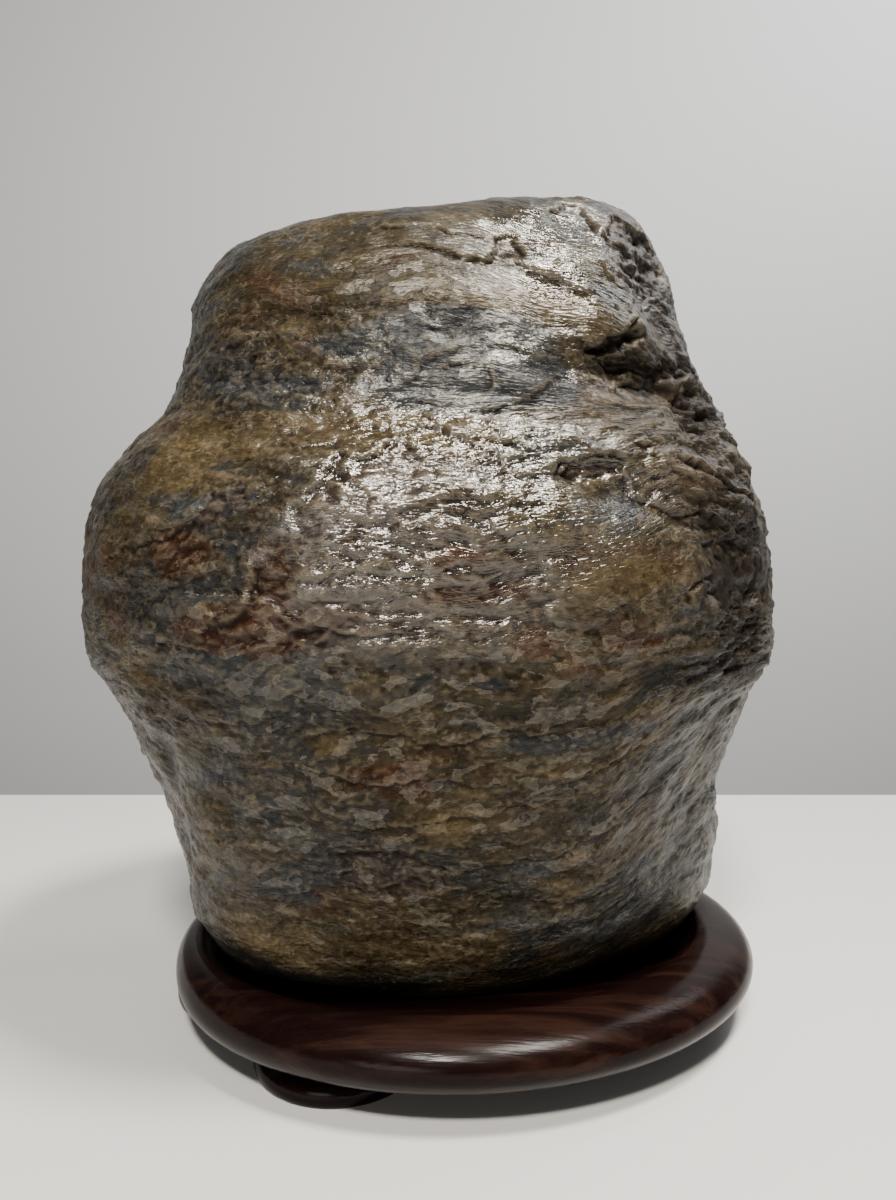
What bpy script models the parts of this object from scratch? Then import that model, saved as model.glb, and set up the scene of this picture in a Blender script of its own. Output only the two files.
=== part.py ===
"""A scholar's rock seated in a low oval hardwood stand on four bun feet.

Units are metres, +Z is up, the front faces -Y. The origin is on the table, under the middle of
the whole object.
"""
import math

import bmesh
import bpy
import numpy as np
from mathutils import Vector, noise

# ---------------------------------------------------------------- driving dimensions
SEAT_GAP = 0.0003            # clearance between pieces that rest on or are glued to each other

FOOT_RADIUS = 0.0235
FOOT_HEIGHT = 0.0070
FOOT_WIDEST = 0.0028         # height at which the foot is widest
FOOT_NECK_INSET = 0.0055     # how far the foot draws in where it meets the tray
FOOT_SOLE_INSET = 0.0013     # how far its rounded side draws in at the table
FOOT_SIDES = 18
FOOT_PLACES = {              # plan position of each foot's middle, measured from the tray's middle
    "foot_front": (-0.0355, -0.0405),
    "foot_left": (-0.0670, -0.0020),
    "foot_back": (0.0050, 0.0470),
    "foot_right": (0.0520, 0.0040),
}

TRAY_PLACE = (0.0100, 0.0030)    # the tray stands a little to the right, under the rock's foot
TRAY_HALF_LENGTH = 0.0888
TRAY_HALF_WIDTH = 0.0766
TRAY_TURN = math.radians(9.0)    # the tray's long axis is turned a little against the rock's
TRAY_UNDERSIDE = FOOT_HEIGHT + SEAT_GAP
TRAY_THICKNESS = 0.0168
CROWN_SHARE = 0.85               # the rim is highest this share of the way in to its lip
TRAY_SIDES = 44
SEAT_HALF_LENGTH = 0.0768        # the recess that the rock sits in
SEAT_HALF_WIDTH = 0.0595
SEAT_SHIFT = (-0.0040, 0.0012)
SEAT_FLOOR = 0.0142
LIP_DROP = 0.0006                # the rim's crown falls this much towards the recess
LIP_ROUNDING = 0.0016

# Inside its lip the recess is a dish that falls to a flat floor. Its outlines from the lip inwards:
# half length, half width, squareness and height, where a squareness of 2 is an ellipse.
DISH = (
    (0.0759, 0.0476, 2.8, 0.0206),
    (0.0745, 0.0452, 2.8, 0.0180),
    (0.0712, 0.0407, 2.8, 0.0160),
    (0.0680, 0.0372, 2.8, 0.0149),
    (0.0620, 0.0340, 2.6, SEAT_FLOOR),
)

ROCK_BASE = SEAT_FLOOR + SEAT_GAP
ROCK_CELLS = 25                  # quads along each edge of the cube that the rock is rounded from
ROCK_FRONT_CROWD = 0.16          # crowds the cells towards the more detailed front
ROCK_TURN = math.radians(7.0)    # the rock's broad face looks a little to the right
ROCK_AXIS = (0.000, 0.005)       # the rock's upright middle line in plan
SECTION_POWER = 2.25             # level outlines are a little squarer than an ellipse

# Level outlines of the rock from its base to its crown, at equal steps of latitude:
# height, then how far it reaches to the left, right, front and back of its middle line.
ROCK_LEVELS = (
    (ROCK_BASE, 0.000, 0.000, 0.000, 0.000),
    (ROCK_BASE, 0.040, 0.044, 0.026, 0.026),
    (0.0185, 0.064, 0.076, 0.046, 0.044),
    (0.0330, 0.074, 0.0855, 0.054, 0.052),
    (0.0510, 0.077, 0.0875, 0.060, 0.060),
    (0.0690, 0.0812, 0.087, 0.066, 0.065),
    (0.0880, 0.0905, 0.093, 0.072, 0.069),
    (0.1070, 0.100, 0.0990, 0.078, 0.072),
    (0.1260, 0.102, 0.101, 0.081, 0.073),
    (0.1450, 0.100, 0.097, 0.080, 0.072),
    (0.1630, 0.094, 0.092, 0.074, 0.068),
    (0.1790, 0.082, 0.085, 0.067, 0.061),
    (0.1970, 0.073, 0.076, 0.062, 0.054),
    (0.2150, 0.071, 0.071, 0.056, 0.048),
    (0.2300, 0.059, 0.065, 0.041, 0.037),
    (0.2350, 0.031, 0.037, 0.022, 0.020),
    (0.2360, 0.000, 0.000, 0.000, 0.000),
)
CROWN_TILT = 0.12                # the crown climbs this much for each metre to the right
CROWN_STARTS = 0.190

# The ways that the rock is looked at to place a feature: its across, up and outward directions.
SIDES = {
    "front": ((1, 0, 0), (0, 0, 1), (0, -1, 0)),
    "back": ((1, 0, 0), (0, 0, 1), (0, 1, 0)),
    "left": ((0, 1, 0), (0, 0, 1), (-1, 0, 0)),
    "right": ((0, 1, 0), (0, 0, 1), (1, 0, 0)),
    "top": ((1, 0, 0), (0, 1, 0), (0, 0, 1)),
    "under": ((1, 0, 0), (0, 1, 0), (0, 0, -1)),
}

# Swellings and hollows: side, across, up, half width, half height, slope in degrees, lift.
LUMPS = (
    ("front", -0.008, 0.140, 0.052, 0.026, 0, 0.0022),     # broad glossy belly
    ("front", 0.016, 0.180, 0.019, 0.008, -4, 0.0024),     # slate lens under the brow
    ("front", -0.020, 0.172, 0.040, 0.006, 3, -0.0014),    # shallow waist over the belly
    ("front", 0.037, 0.224, 0.010, 0.009, -30, -0.0042),   # hollow under the crown's edge
    ("front", 0.018, 0.213, 0.007, 0.006, 0, -0.0022),     # squarish pit
    ("front", 0.040, 0.203, 0.008, 0.024, 12, 0.0028),     # crest down the front of the head
    ("front", 0.062, 0.208, 0.010, 0.022, 14, -0.0036),    # flattened rough side beyond the crest
    ("front", 0.056, 0.184, 0.017, 0.006, -8, -0.0052),    # dark cave beside the crest
    ("front", 0.072, 0.172, 0.008, 0.010, -30, -0.0030),
    ("front", 0.046, 0.154, 0.017, 0.004, -6, -0.0026),    # slot under the right ledge
    ("front", 0.078, 0.128, 0.010, 0.016, 0, -0.0026),     # crusty hollow on the right flank
    ("front", 0.070, 0.118, 0.007, 0.005, 10, 0.0030),     # its curled lip
    ("front", 0.074, 0.078, 0.010, 0.030, -12, -0.0030),   # drawn-in lower right flank
    ("front", -0.051, 0.196, 0.007, 0.006, 0, 0.0026),     # knobs on the left of the head
    ("front", -0.052, 0.185, 0.008, 0.005, 0, 0.0020),
    ("front", -0.060, 0.092, 0.016, 0.014, 30, -0.0014),   # hollow under the left flank
    ("front", -0.040, 0.062, 0.022, 0.018, 0, 0.0018),
    ("front", 0.028, 0.074, 0.030, 0.020, 0, 0.0014),
    ("front", -0.002, 0.100, 0.045, 0.007, 2, -0.0012),
    ("left", -0.009, 0.183, 0.040, 0.012, 8, -0.0030),     # saddle between head and left shoulder
    ("left", -0.007, 0.150, 0.030, 0.018, -10, 0.0020),
    ("left", 0.023, 0.118, 0.018, 0.022, 20, -0.0034),
    ("left", 0.007, 0.062, 0.022, 0.018, 0, 0.0016),
    ("left", 0.025, 0.212, 0.018, 0.016, 0, -0.0028),
    ("right", -0.003, 0.150, 0.022, 0.013, 0, 0.0020),
    ("right", 0.027, 0.122, 0.020, 0.020, -15, 0.0030),
    ("right", 0.001, 0.082, 0.026, 0.014, 10, -0.0014),
    ("right", 0.023, 0.196, 0.016, 0.020, 0, -0.0034),
    ("right", 0.013, 0.050, 0.024, 0.014, 0, 0.0016),
    ("back", -0.030, 0.181, 0.040, 0.016, 16, 0.0062),     # fills the waist behind, slantwise
    ("back", 0.058, 0.176, 0.020, 0.014, -20, 0.0040),
    ("back", -0.036, 0.150, 0.030, 0.026, 12, 0.0040),
    ("back", 0.040, 0.160, 0.026, 0.018, -10, 0.0034),
    ("back", 0.004, 0.118, 0.030, 0.024, 20, -0.0056),    # broad scoop behind
    ("back", 0.052, 0.096, 0.020, 0.018, 0, -0.0036),
    ("back", -0.040, 0.084, 0.024, 0.014, 0, -0.0030),
    ("back", 0.008, 0.066, 0.036, 0.018, 0, 0.0036),
    ("back", -0.010, 0.208, 0.022, 0.018, 0, 0.0032),
    ("back", 0.036, 0.200, 0.014, 0.024, 10, -0.0038),
    ("under", 0.062, -0.034, 0.044, 0.018, 34, -0.0060),   # undercut along the right front of the foot
    ("under", -0.030, -0.036, 0.030, 0.008, -30, -0.0030),
    ("under", 0.000, 0.052, 0.050, 0.010, 8, -0.0040),
    ("top", -0.020, 0.007, 0.020, 0.016, 0, -0.0016),
    ("top", 0.022, 0.017, 0.020, 0.014, 20, 0.0014),
    ("top", 0.044, -0.011, 0.010, 0.009, 0, 0.0016),
    ("top", -0.002, -0.018, 0.024, 0.030, 0, -0.0022),
    ("top", 0.065, -0.008, 0.006, 0.030, 0, -0.0022),
)

# Ledges, lifted above their line and cut in under it: the same values as for a lump.
LEDGES = (
    ("front", 0.053, 0.1895, 0.016, 0.007, -8, 0.0026),    # brow over the dark cave
    ("front", 0.044, 0.160, 0.018, 0.006, -5, 0.0022),
    ("front", 0.064, 0.150, 0.014, 0.006, -12, 0.0026),   # broken plate on the right shoulder
    ("front", -0.016, 0.161, 0.024, 0.006, 4, -0.0012),   # broken skin along the top of the belly
    ("front", -0.038, 0.138, 0.010, 0.012, 55, -0.0012),
    ("front", -0.006, 0.116, 0.040, 0.006, -3, 0.0014),   # the belly's lower edge
    ("front", 0.014, 0.146, 0.014, 0.004, 0, 0.0012),
    ("right", -0.023, 0.160, 0.014, 0.005, 0, 0.0030),    # steps down the right outline
    ("right", -0.017, 0.101, 0.026, 0.006, 0, 0.0022),
    ("right", 0.015, 0.170, 0.020, 0.007, -10, 0.0030),
    ("left", -0.027, 0.103, 0.024, 0.006, 8, 0.0018),
    ("left", 0.017, 0.166, 0.024, 0.007, 0, 0.0024),
    ("back", 0.014, 0.178, 0.044, 0.008, 6, 0.0034),
    ("back", -0.016, 0.136, 0.030, 0.007, -8, 0.0028),
    ("back", 0.046, 0.124, 0.022, 0.006, 10, 0.0030),
    ("back", 0.002, 0.090, 0.046, 0.007, -4, 0.0028),
    ("back", 0.030, 0.046, 0.034, 0.006, 5, 0.0022),
    ("top", 0.016, -0.013, 0.040, 0.008, 4, -0.0010),
)
LEDGE_SHARPNESS = 2.6

# Uneven bedding all over: how far its waves reach along, across and up, and how high they stand.
BEDDING_WAVES = (0.034, 0.034, 0.013)
BEDDING_HEIGHT = 0.0013
BEDDING_OCTAVES = 3
CALM_BASE = 0.012                # features fade out over this height above the seat
UNDERCUT_REACH = 0.030           # but those on the underside reach up to this height above it


def remove_everything():
    for obj in list(bpy.data.objects):
        bpy.data.objects.remove(obj, do_unlink=True)


def collection_named(name):
    made = bpy.data.collections.new(name)
    bpy.context.scene.collection.children.link(made)
    return made


def material_named(name, colour, roughness):
    made = bpy.data.materials.new(name)
    made.use_nodes = True
    shader = made.node_tree.nodes["Principled BSDF"]
    shader.inputs["Base Color"].default_value = (*colour, 1.0)
    shader.inputs["Roughness"].default_value = roughness
    shader.inputs["Metallic"].default_value = 0.0
    return made


def object_from(mesh, name, material, collection):
    obj = bpy.data.objects.new(name, mesh)
    mesh.materials.append(material)
    mesh.shade_smooth()
    mesh.set_sharp_from_angle(angle=math.radians(40))
    collection.objects.link(obj)
    return obj


# ---------------------------------------------------------------- the stand
def oval(half_length, half_width, inset=0.0, shift=(0.0, 0.0)):
    """Plan points of an oval drawn in by inset, before the tray is turned."""
    points = []
    for step in range(TRAY_SIDES):
        angle = 2 * math.pi * step / TRAY_SIDES
        normal = Vector((half_width * math.cos(angle), half_length * math.sin(angle))).normalized()
        point = Vector((half_length * math.cos(angle), half_width * math.sin(angle)))
        points.append(point + Vector(shift) - inset * normal)
    return points


def rim_ring(share, height):
    """The outline that lies this share of the way from the tray's edge to the lip of its recess."""
    edge = oval(TRAY_HALF_LENGTH, TRAY_HALF_WIDTH)
    lip = oval(SEAT_HALF_LENGTH, SEAT_HALF_WIDTH, -LIP_ROUNDING, SEAT_SHIFT)
    return [outer.lerp(inner, share).to_3d() + Vector((0, 0, height)) for outer, inner in zip(edge, lip)]


def seat_ring(inset, height):
    seat = oval(SEAT_HALF_LENGTH, SEAT_HALF_WIDTH, inset, SEAT_SHIFT)
    return [point.to_3d() + Vector((0, 0, height)) for point in seat]


def dish_ring(half_length, half_width, squareness, height):
    """An outline of the dish, before the tray is turned."""
    points = []
    for step in range(TRAY_SIDES):
        angle = 2 * math.pi * step / TRAY_SIDES
        along = math.copysign(abs(math.cos(angle)) ** (2 / squareness), math.cos(angle))
        across = math.copysign(abs(math.sin(angle)) ** (2 / squareness), math.sin(angle))
        point = Vector((half_length * along, half_width * across)) + Vector(SEAT_SHIFT)
        points.append(point.to_3d() + Vector((0, 0, height)))
    return points


def tray_rings():
    """The tray's outlines from the middle of its underside, round the bull nose, to the seat floor."""
    half = TRAY_THICKNESS / 2
    middle = TRAY_UNDERSIDE + half
    rings = []
    for degrees in range(-90, 91, 18):
        angle = math.radians(degrees)
        rings.append(rim_ring(CROWN_SHARE * (1 - math.cos(angle)), middle + half * math.sin(angle)))
    lip = TRAY_UNDERSIDE + TRAY_THICKNESS - LIP_DROP
    for degrees in (75, 35, 0):
        angle = math.radians(degrees)
        inset = LIP_ROUNDING * (math.cos(angle) - 1)
        rings.append(seat_ring(inset, lip - LIP_ROUNDING * (1 - math.sin(angle))))
    rings.extend(dish_ring(*outline) for outline in DISH)
    return rings


def build_tray(material, collection):
    mesh = bpy.data.meshes.new("stand_tray")
    shape = bmesh.new()
    loops = []
    for ring in tray_rings():
        corners = [shape.verts.new(point) for point in ring]
        loops.append([shape.edges.new(pair) for pair in zip(corners, corners[1:] + corners[:1])])
    for lower, upper in zip(loops, loops[1:]):
        bmesh.ops.bridge_loops(shape, edges=lower + upper)
    bmesh.ops.contextual_create(shape, geom=loops[0])
    bmesh.ops.contextual_create(shape, geom=loops[-1])
    bmesh.ops.recalc_face_normals(shape, faces=shape.faces)
    shape.to_mesh(mesh)
    shape.free()
    tray = object_from(mesh, "stand_tray", material, collection)
    tray.location = (*TRAY_PLACE, 0)
    tray.rotation_euler = (0, 0, TRAY_TURN)
    return tray


def foot_profile():
    """Side of a bun foot from its top to its sole, as (radius, height)."""
    side = [(0.0, FOOT_HEIGHT)]
    for degrees in (90, 55, 25, 0, -45, -90):
        angle = math.radians(degrees)
        inset = FOOT_NECK_INSET if degrees > 0 else FOOT_SOLE_INSET
        reach = FOOT_HEIGHT - FOOT_WIDEST if degrees > 0 else FOOT_WIDEST
        side.append((FOOT_RADIUS - inset * (1 - math.cos(angle)), FOOT_WIDEST + reach * math.sin(angle)))
    side.append((0.0, 0.0))
    return side


def build_foot(name, place, material, collection):
    mesh = bpy.data.meshes.new(name)
    profile = foot_profile()
    edges = [(i, i + 1) for i in range(len(profile) - 1)]
    mesh.from_pydata([(radius, 0.0, height) for radius, height in profile], edges, [])
    foot = object_from(mesh, name, material, collection)
    turned = foot.modifiers.new("turned", "SCREW")
    turned.steps = FOOT_SIDES
    turned.render_steps = FOOT_SIDES
    turned.use_merge_vertices = True
    turned.merge_threshold = 0.00001
    turned.use_smooth_shade = True
    foot.location = (TRAY_PLACE[0] + place[0], TRAY_PLACE[1] + place[1], 0)
    return foot


# ---------------------------------------------------------------- the rock
def along_levels(latitude):
    """Height and reaches at each latitude, on a smooth curve through ROCK_LEVELS."""
    table = np.array(ROCK_LEVELS)
    last = len(table) - 1
    place = np.clip((latitude / math.pi + 0.5) * last, 0, last - 1e-9)
    at = place.astype(int)
    t = (place - at)[:, None]
    before = table[np.maximum(at - 1, 0)]
    here = table[at]
    after = table[at + 1]
    beyond = table[np.minimum(at + 2, last)]
    return 0.5 * (
        2 * here
        + (after - before) * t
        + (2 * before - 5 * here + 4 * after - beyond) * t**2
        + (3 * here - 3 * after + beyond - before) * t**3
    )


def on_rock(directions):
    """Points of the smooth rock in the given unit directions."""
    latitude = np.arcsin(np.clip(directions[:, 2], -1, 1))
    height, left, right, front, back = along_levels(latitude).T
    across = np.hypot(directions[:, 0], directions[:, 1]) + 1e-12
    east = directions[:, 0] / across
    north = directions[:, 1] / across
    reach_x = np.maximum(np.where(east > 0, right, left), 1e-6)
    reach_y = np.maximum(np.where(north > 0, back, front), 1e-6)
    radius = (np.abs(east / reach_x) ** SECTION_POWER + np.abs(north / reach_y) ** SECTION_POWER) ** (
        -1 / SECTION_POWER
    )
    along = radius * east
    deep = radius * north
    x = ROCK_AXIS[0] + along * math.cos(ROCK_TURN) - deep * math.sin(ROCK_TURN)
    y = ROCK_AXIS[1] + along * math.sin(ROCK_TURN) + deep * math.cos(ROCK_TURN)
    height += CROWN_TILT * x * np.clip((height - CROWN_STARTS) / (ROCK_LEVELS[-1][0] - CROWN_STARTS), 0, 1)
    return np.stack([x, y, np.maximum(height, ROCK_BASE)], 1)


def unit_step(values):
    """Smooth step from 0 to 1 as the values go from 0 to 1."""
    held = np.clip(values, 0, 1)
    return held * held * (3 - 2 * held)


def feature_frame(points, normals, feature):
    """Where each point lies across and up a feature, in its half sizes, and how far it faces it."""
    side, across, up, half_width, half_height, slope, _ = feature
    across_axis, up_axis, outward = (np.array(axis, float) for axis in SIDES[side])
    east = points @ across_axis - across
    north = points @ up_axis - up
    turn = math.radians(slope)
    u = (east * math.cos(turn) + north * math.sin(turn)) / half_width
    v = (north * math.cos(turn) - east * math.sin(turn)) / half_height
    return u, v, unit_step(normals @ outward / 0.4)


def relief(points, normals):
    """How far each point is lifted by the lumps, the ledges and the uneven bedding."""
    lift = np.zeros(len(points))
    over_seat = points[:, 2] - ROCK_BASE
    clear_of_seat = unit_step(over_seat / CALM_BASE)
    near_seat = 1 - unit_step(over_seat / UNDERCUT_REACH)
    for feature in LUMPS:
        u, v, facing = feature_frame(points, normals, feature)
        calmed = near_seat if feature[0] == "under" else clear_of_seat
        lift += feature[-1] * calmed * facing * np.exp(-u * u - v * v)
    for feature in LEDGES:
        u, v, facing = feature_frame(points, normals, feature)
        step = np.tanh(LEDGE_SHARPNESS * v) * np.exp(-u * u - v * v / 2)
        lift += feature[-1] * clear_of_seat * facing * step
    for index, place in enumerate(points / np.array(BEDDING_WAVES)):
        wave = noise.fractal(Vector(place), 0.7, 2.1, BEDDING_OCTAVES)
        lift[index] += BEDDING_HEIGHT * clear_of_seat[index] * wave
    return lift


def build_rock(material, collection):
    shape = bmesh.new()
    bmesh.ops.create_cube(shape, size=2.0)
    bmesh.ops.subdivide_edges(shape, edges=shape.edges, cuts=ROCK_CELLS - 1, use_grid_fill=True)
    corners = np.array([vertex.co for vertex in shape.verts])
    rounded = np.tan(corners * math.pi / 4)
    rounded /= np.linalg.norm(rounded, axis=1)[:, None]
    rounded[:, 1] -= ROCK_FRONT_CROWD
    rounded /= np.linalg.norm(rounded, axis=1)[:, None]
    smooth = on_rock(rounded)
    for vertex, point in zip(shape.verts, smooth):
        vertex.co = point
    bmesh.ops.recalc_face_normals(shape, faces=shape.faces)
    shape.normal_update()
    normals = np.array([vertex.normal for vertex in shape.verts])
    finished = smooth + relief(smooth, normals)[:, None] * normals
    for vertex, point in zip(shape.verts, finished):
        vertex.co = (point[0], point[1], max(point[2], ROCK_BASE))
    mesh = bpy.data.meshes.new("rock")
    shape.to_mesh(mesh)
    shape.free()
    return object_from(mesh, "rock", material, collection)


def main():
    remove_everything()
    collection = collection_named("scholars_rock")
    stone = material_named("waxed_stone", (0.10, 0.082, 0.055), 0.38)
    wood = material_named("dark_rosewood", (0.030, 0.012, 0.010), 0.32)
    build_rock(stone, collection)
    build_tray(wood, collection)
    for name, place in FOOT_PLACES.items():
        build_foot(name, place, wood, collection)


main()
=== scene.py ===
"""A scholar's rock of waxed river stone, standing in the oval recess of a low hardwood stand.

Units are metres, +Z is up, the front faces -Y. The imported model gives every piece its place.
"""
import itertools
import math
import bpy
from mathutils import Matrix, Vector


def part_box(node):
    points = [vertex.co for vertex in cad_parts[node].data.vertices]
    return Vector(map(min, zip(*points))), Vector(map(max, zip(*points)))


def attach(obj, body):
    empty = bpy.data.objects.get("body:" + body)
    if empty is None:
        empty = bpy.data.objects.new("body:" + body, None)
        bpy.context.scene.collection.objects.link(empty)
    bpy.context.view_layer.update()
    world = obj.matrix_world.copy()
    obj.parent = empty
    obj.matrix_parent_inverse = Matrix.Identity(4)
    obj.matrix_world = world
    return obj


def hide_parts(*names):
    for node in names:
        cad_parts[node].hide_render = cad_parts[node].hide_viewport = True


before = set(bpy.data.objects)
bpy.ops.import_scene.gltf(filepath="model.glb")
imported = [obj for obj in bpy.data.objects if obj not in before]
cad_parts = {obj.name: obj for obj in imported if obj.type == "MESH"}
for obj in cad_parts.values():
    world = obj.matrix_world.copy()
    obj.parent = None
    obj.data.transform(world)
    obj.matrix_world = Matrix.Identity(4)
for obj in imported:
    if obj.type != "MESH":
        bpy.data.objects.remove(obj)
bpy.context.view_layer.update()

from types import SimpleNamespace

import bpy
import numpy as np
from mathutils import Vector

bl_info = {
    "name": "Scholar's Rock",
    "version": (1, 0, 0),
    "blender": (4, 5, 0),
    "location": "View3D > Sidebar > Rock",
    "description": "Builds a waxed scholar's rock, its hardwood stand and a plain studio stage",
    "category": "Object",
}

MM = 0.001
FAR_AWAY = 1e9                       # a start for the search of the nearest line or cell
BOX_MARGIN = 0.1 * MM                # how far the carved skin stays inside the solid's box
MERGE_DISTANCE = 1e-6                # corners of the solid's triangles that are nearer than this are one
FACING_REACH = 0.35                  # cosine from which on the surface fully counts as facing a side

# ---------------------------------------------------------------- sizes of the stand
TRAY_TURN = math.radians(9.0)        # the tray's long axis is turned a little against the rock's
SEAT_HALF_LENGTH = 76.8 * MM
SEAT_HALF_WIDTH = 59.5 * MM
SEAT_SHIFT = (-4.0 * MM, 1.2 * MM)
CROWN_SHARE = 0.85                   # the rim is highest this share of the way in to its lip
LIP_DROP = 0.6 * MM
LIP_ROUNDING = 1.6 * MM

# Inside its lip the recess is a dish that falls to a flat floor. Its outlines from the lip inwards:
# half length, half width, squareness and height, where a squareness of 2 is an ellipse.
DISH = (
    (75.9 * MM, 47.6 * MM, 2.8, 20.6 * MM),
    (74.5 * MM, 45.2 * MM, 2.8, 18.0 * MM),
    (71.2 * MM, 40.7 * MM, 2.8, 16.0 * MM),
    (68.0 * MM, 37.2 * MM, 2.8, 14.9 * MM),
    (62.0 * MM, 34.0 * MM, 2.6, 14.2 * MM),
)

FOOT_WIDEST = 2.8 * MM               # height at which a foot is widest
FOOT_NECK_INSET = 5.5 * MM
FOOT_SOLE_INSET = 1.3 * MM

CREASE_ANGLE = math.radians(50)      # faces that meet at more than this keep their edge
OVAL_HEIGHT_MARGIN = 0.01 * MM       # a corner this near to an oval of the dish lies on it
OVAL_SIZE_MARGIN = 0.01              # the same in plan, as a share of the oval's size

# ---------------------------------------------------------------- the stage
FLOOR_SIZE = (2.4, 1.6)
BACKDROP_SIZE = (4, 3)
BACKDROP_PLACE = (0, 0.75, 0.3)
FLOOR_ROUGHNESS = 0.7
BACKDROP_ROUGHNESS = 0.8
SENSOR_WIDTH = 36                    # in millimetres, as for a full-frame camera
WARM = (1.0, 0.955, 0.885)           # colour of the lamps over and before the rock
WHITE = (1, 1, 1)

# Soft boxes: name, place, the point they face, size, power in watts and colour.
SOFT_BOXES = (
    ("overhead box", (0.27, -0.22, 0.90), (0, 0, 0.14), (0.20, 0.13), 15, WARM),
    ("front box", (-0.05, -0.55, 0.70), (0, 0, 0.13), (0.11, 0.08), 11, WARM),
    ("low fill box", (-0.30, -0.90, 0.20), (0, 0, 0.08), (0.40, 0.24), 1.8, WARM),
    ("backdrop box", (0.66, 0.36, 0.92), (0.44, 0.75, 0.56), (0.7, 0.3), 7, WHITE),
)

# The room is dim at eye level and light overhead: how far up each shade lies, and its colour.
ROOM_SHADES = ((0.10, (0.10, 0.10, 0.105)), (0.85, (0.55, 0.56, 0.58)))
ROOM_STRENGTH = 0.34

# ---------------------------------------------------------------- the ways the rock is looked at
# Each side's direction across, its direction up, and the direction that it faces.
SIDES = {
    "front": ((1, 0, 0), (0, 0, 1), (0, -1, 0)),
    "back": ((1, 0, 0), (0, 0, 1), (0, 1, 0)),
    "left": ((0, 1, 0), (0, 0, 1), (-1, 0, 0)),
    "right": ((0, 1, 0), (0, 0, 1), (1, 0, 0)),
    "top": ((1, 0, 0), (0, 1, 0), (0, 0, 1)),
}

# The tables that follow are in millimetres and degrees, and list what lies on each side.

# Where the weathered skin has come away: depth of the step, width of its slope, and the outline
# across and up.
PEELED = {
    "front": (
        (0.7, 6.0, (
            (-42, 122), (-40, 132), (-36, 142), (-28, 150), (-24, 155), (-22.5, 160), (-21, 162.5),
            (-18, 160), (-12, 161), (-7, 164), (-4, 162), (0, 158), (10, 151), (24, 140), (30, 130),
            (26, 120), (9, 119), (-10, 119), (-29, 117))),
        (0.5, 1.0, (
            (-39, 138), (-32, 137), (-31, 130), (-31, 122), (-28, 118), (-42, 117), (-52, 119),
            (-50, 122), (-42, 125))),
        (0.9, 0.6, ((15, 215), (21, 218), (22, 211), (18, 209), (15, 209))),
        (1.4, 1.0, (
            (30, 228), (35, 232.5), (40, 231), (43, 226), (44, 222), (41, 224), (38, 227), (34, 228))),
        (1.0, 0.9, (
            (48, 230), (54, 230), (59, 229), (65, 226), (66, 218), (65, 210), (62, 210), (57, 204),
            (53, 209), (47, 210), (45, 217), (47, 224))),
        (2.8, 0.8, (
            (38.5, 188.5), (43, 191.2), (49, 194.3), (54, 194), (53, 192), (50, 190.4), (45, 189.4),
            (41, 187.5))),
        (1.0, 0.7, (
            (41, 186), (46, 186.8), (52, 187.5), (57, 186), (62, 188), (67, 187.5), (70, 188),
            (69, 185.5), (60, 184), (52, 185), (44, 184.5))),
        (1.7, 0.7, ((30, 156.5), (34, 159.5), (42, 161), (46, 160), (44, 157), (40, 156), (35, 155))),
        (1.1, 0.8, ((65, 180), (71, 183), (75, 178), (76, 171), (67, 168), (62, 171))),
        (0.9, 0.8, ((66, 141), (76, 143), (84, 138), (86, 126), (76, 122), (66, 128))),
        (1.0, 0.7, ((71, 120), (76, 123.5), (82, 123.5), (87, 122), (88, 112), (80, 106), (72, 109))),
        (0.6, 1.2, ((-64, 144), (-56, 146), (-50, 152), (-42, 154), (-40, 151), (-50, 146), (-58, 141))),
        (0.4, 2.0, ((-22, 64), (-8, 66), (4, 60), (2, 54), (-12, 52), (-24, 56))),
    ),
    "left": (
        (0.5, 1.2, ((-30, 128), (-12, 134), (6, 130), (12, 118), (-4, 112), (-24, 116))),
        (0.5, 1.0, ((-6, 188), (14, 194), (26, 186), (10, 176), (-8, 178))),
    ),
    "right": (
        (0.8, 1.0, ((-20, 142), (4, 150), (26, 146), (30, 128), (8, 120), (-16, 126))),
        (0.7, 1.2, ((-4, 96), (18, 100), (28, 88), (10, 78), (-8, 84))),
    ),
    "back": (
        (0.9, 1.4, ((-46, 152), (-20, 160), (8, 156), (18, 140), (2, 126), (-30, 128), (-48, 136))),
        (0.7, 1.2, ((24, 112), (48, 118), (60, 104), (46, 90), (26, 94))),
        (0.6, 1.2, ((-30, 214), (-8, 220), (14, 214), (8, 202), (-20, 200))),
    ),
    "top": (
        (0.7, 1.2, ((-30, 10), (-10, 16), (12, 12), (6, -2), (-22, -4))),
    ),
}

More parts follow.
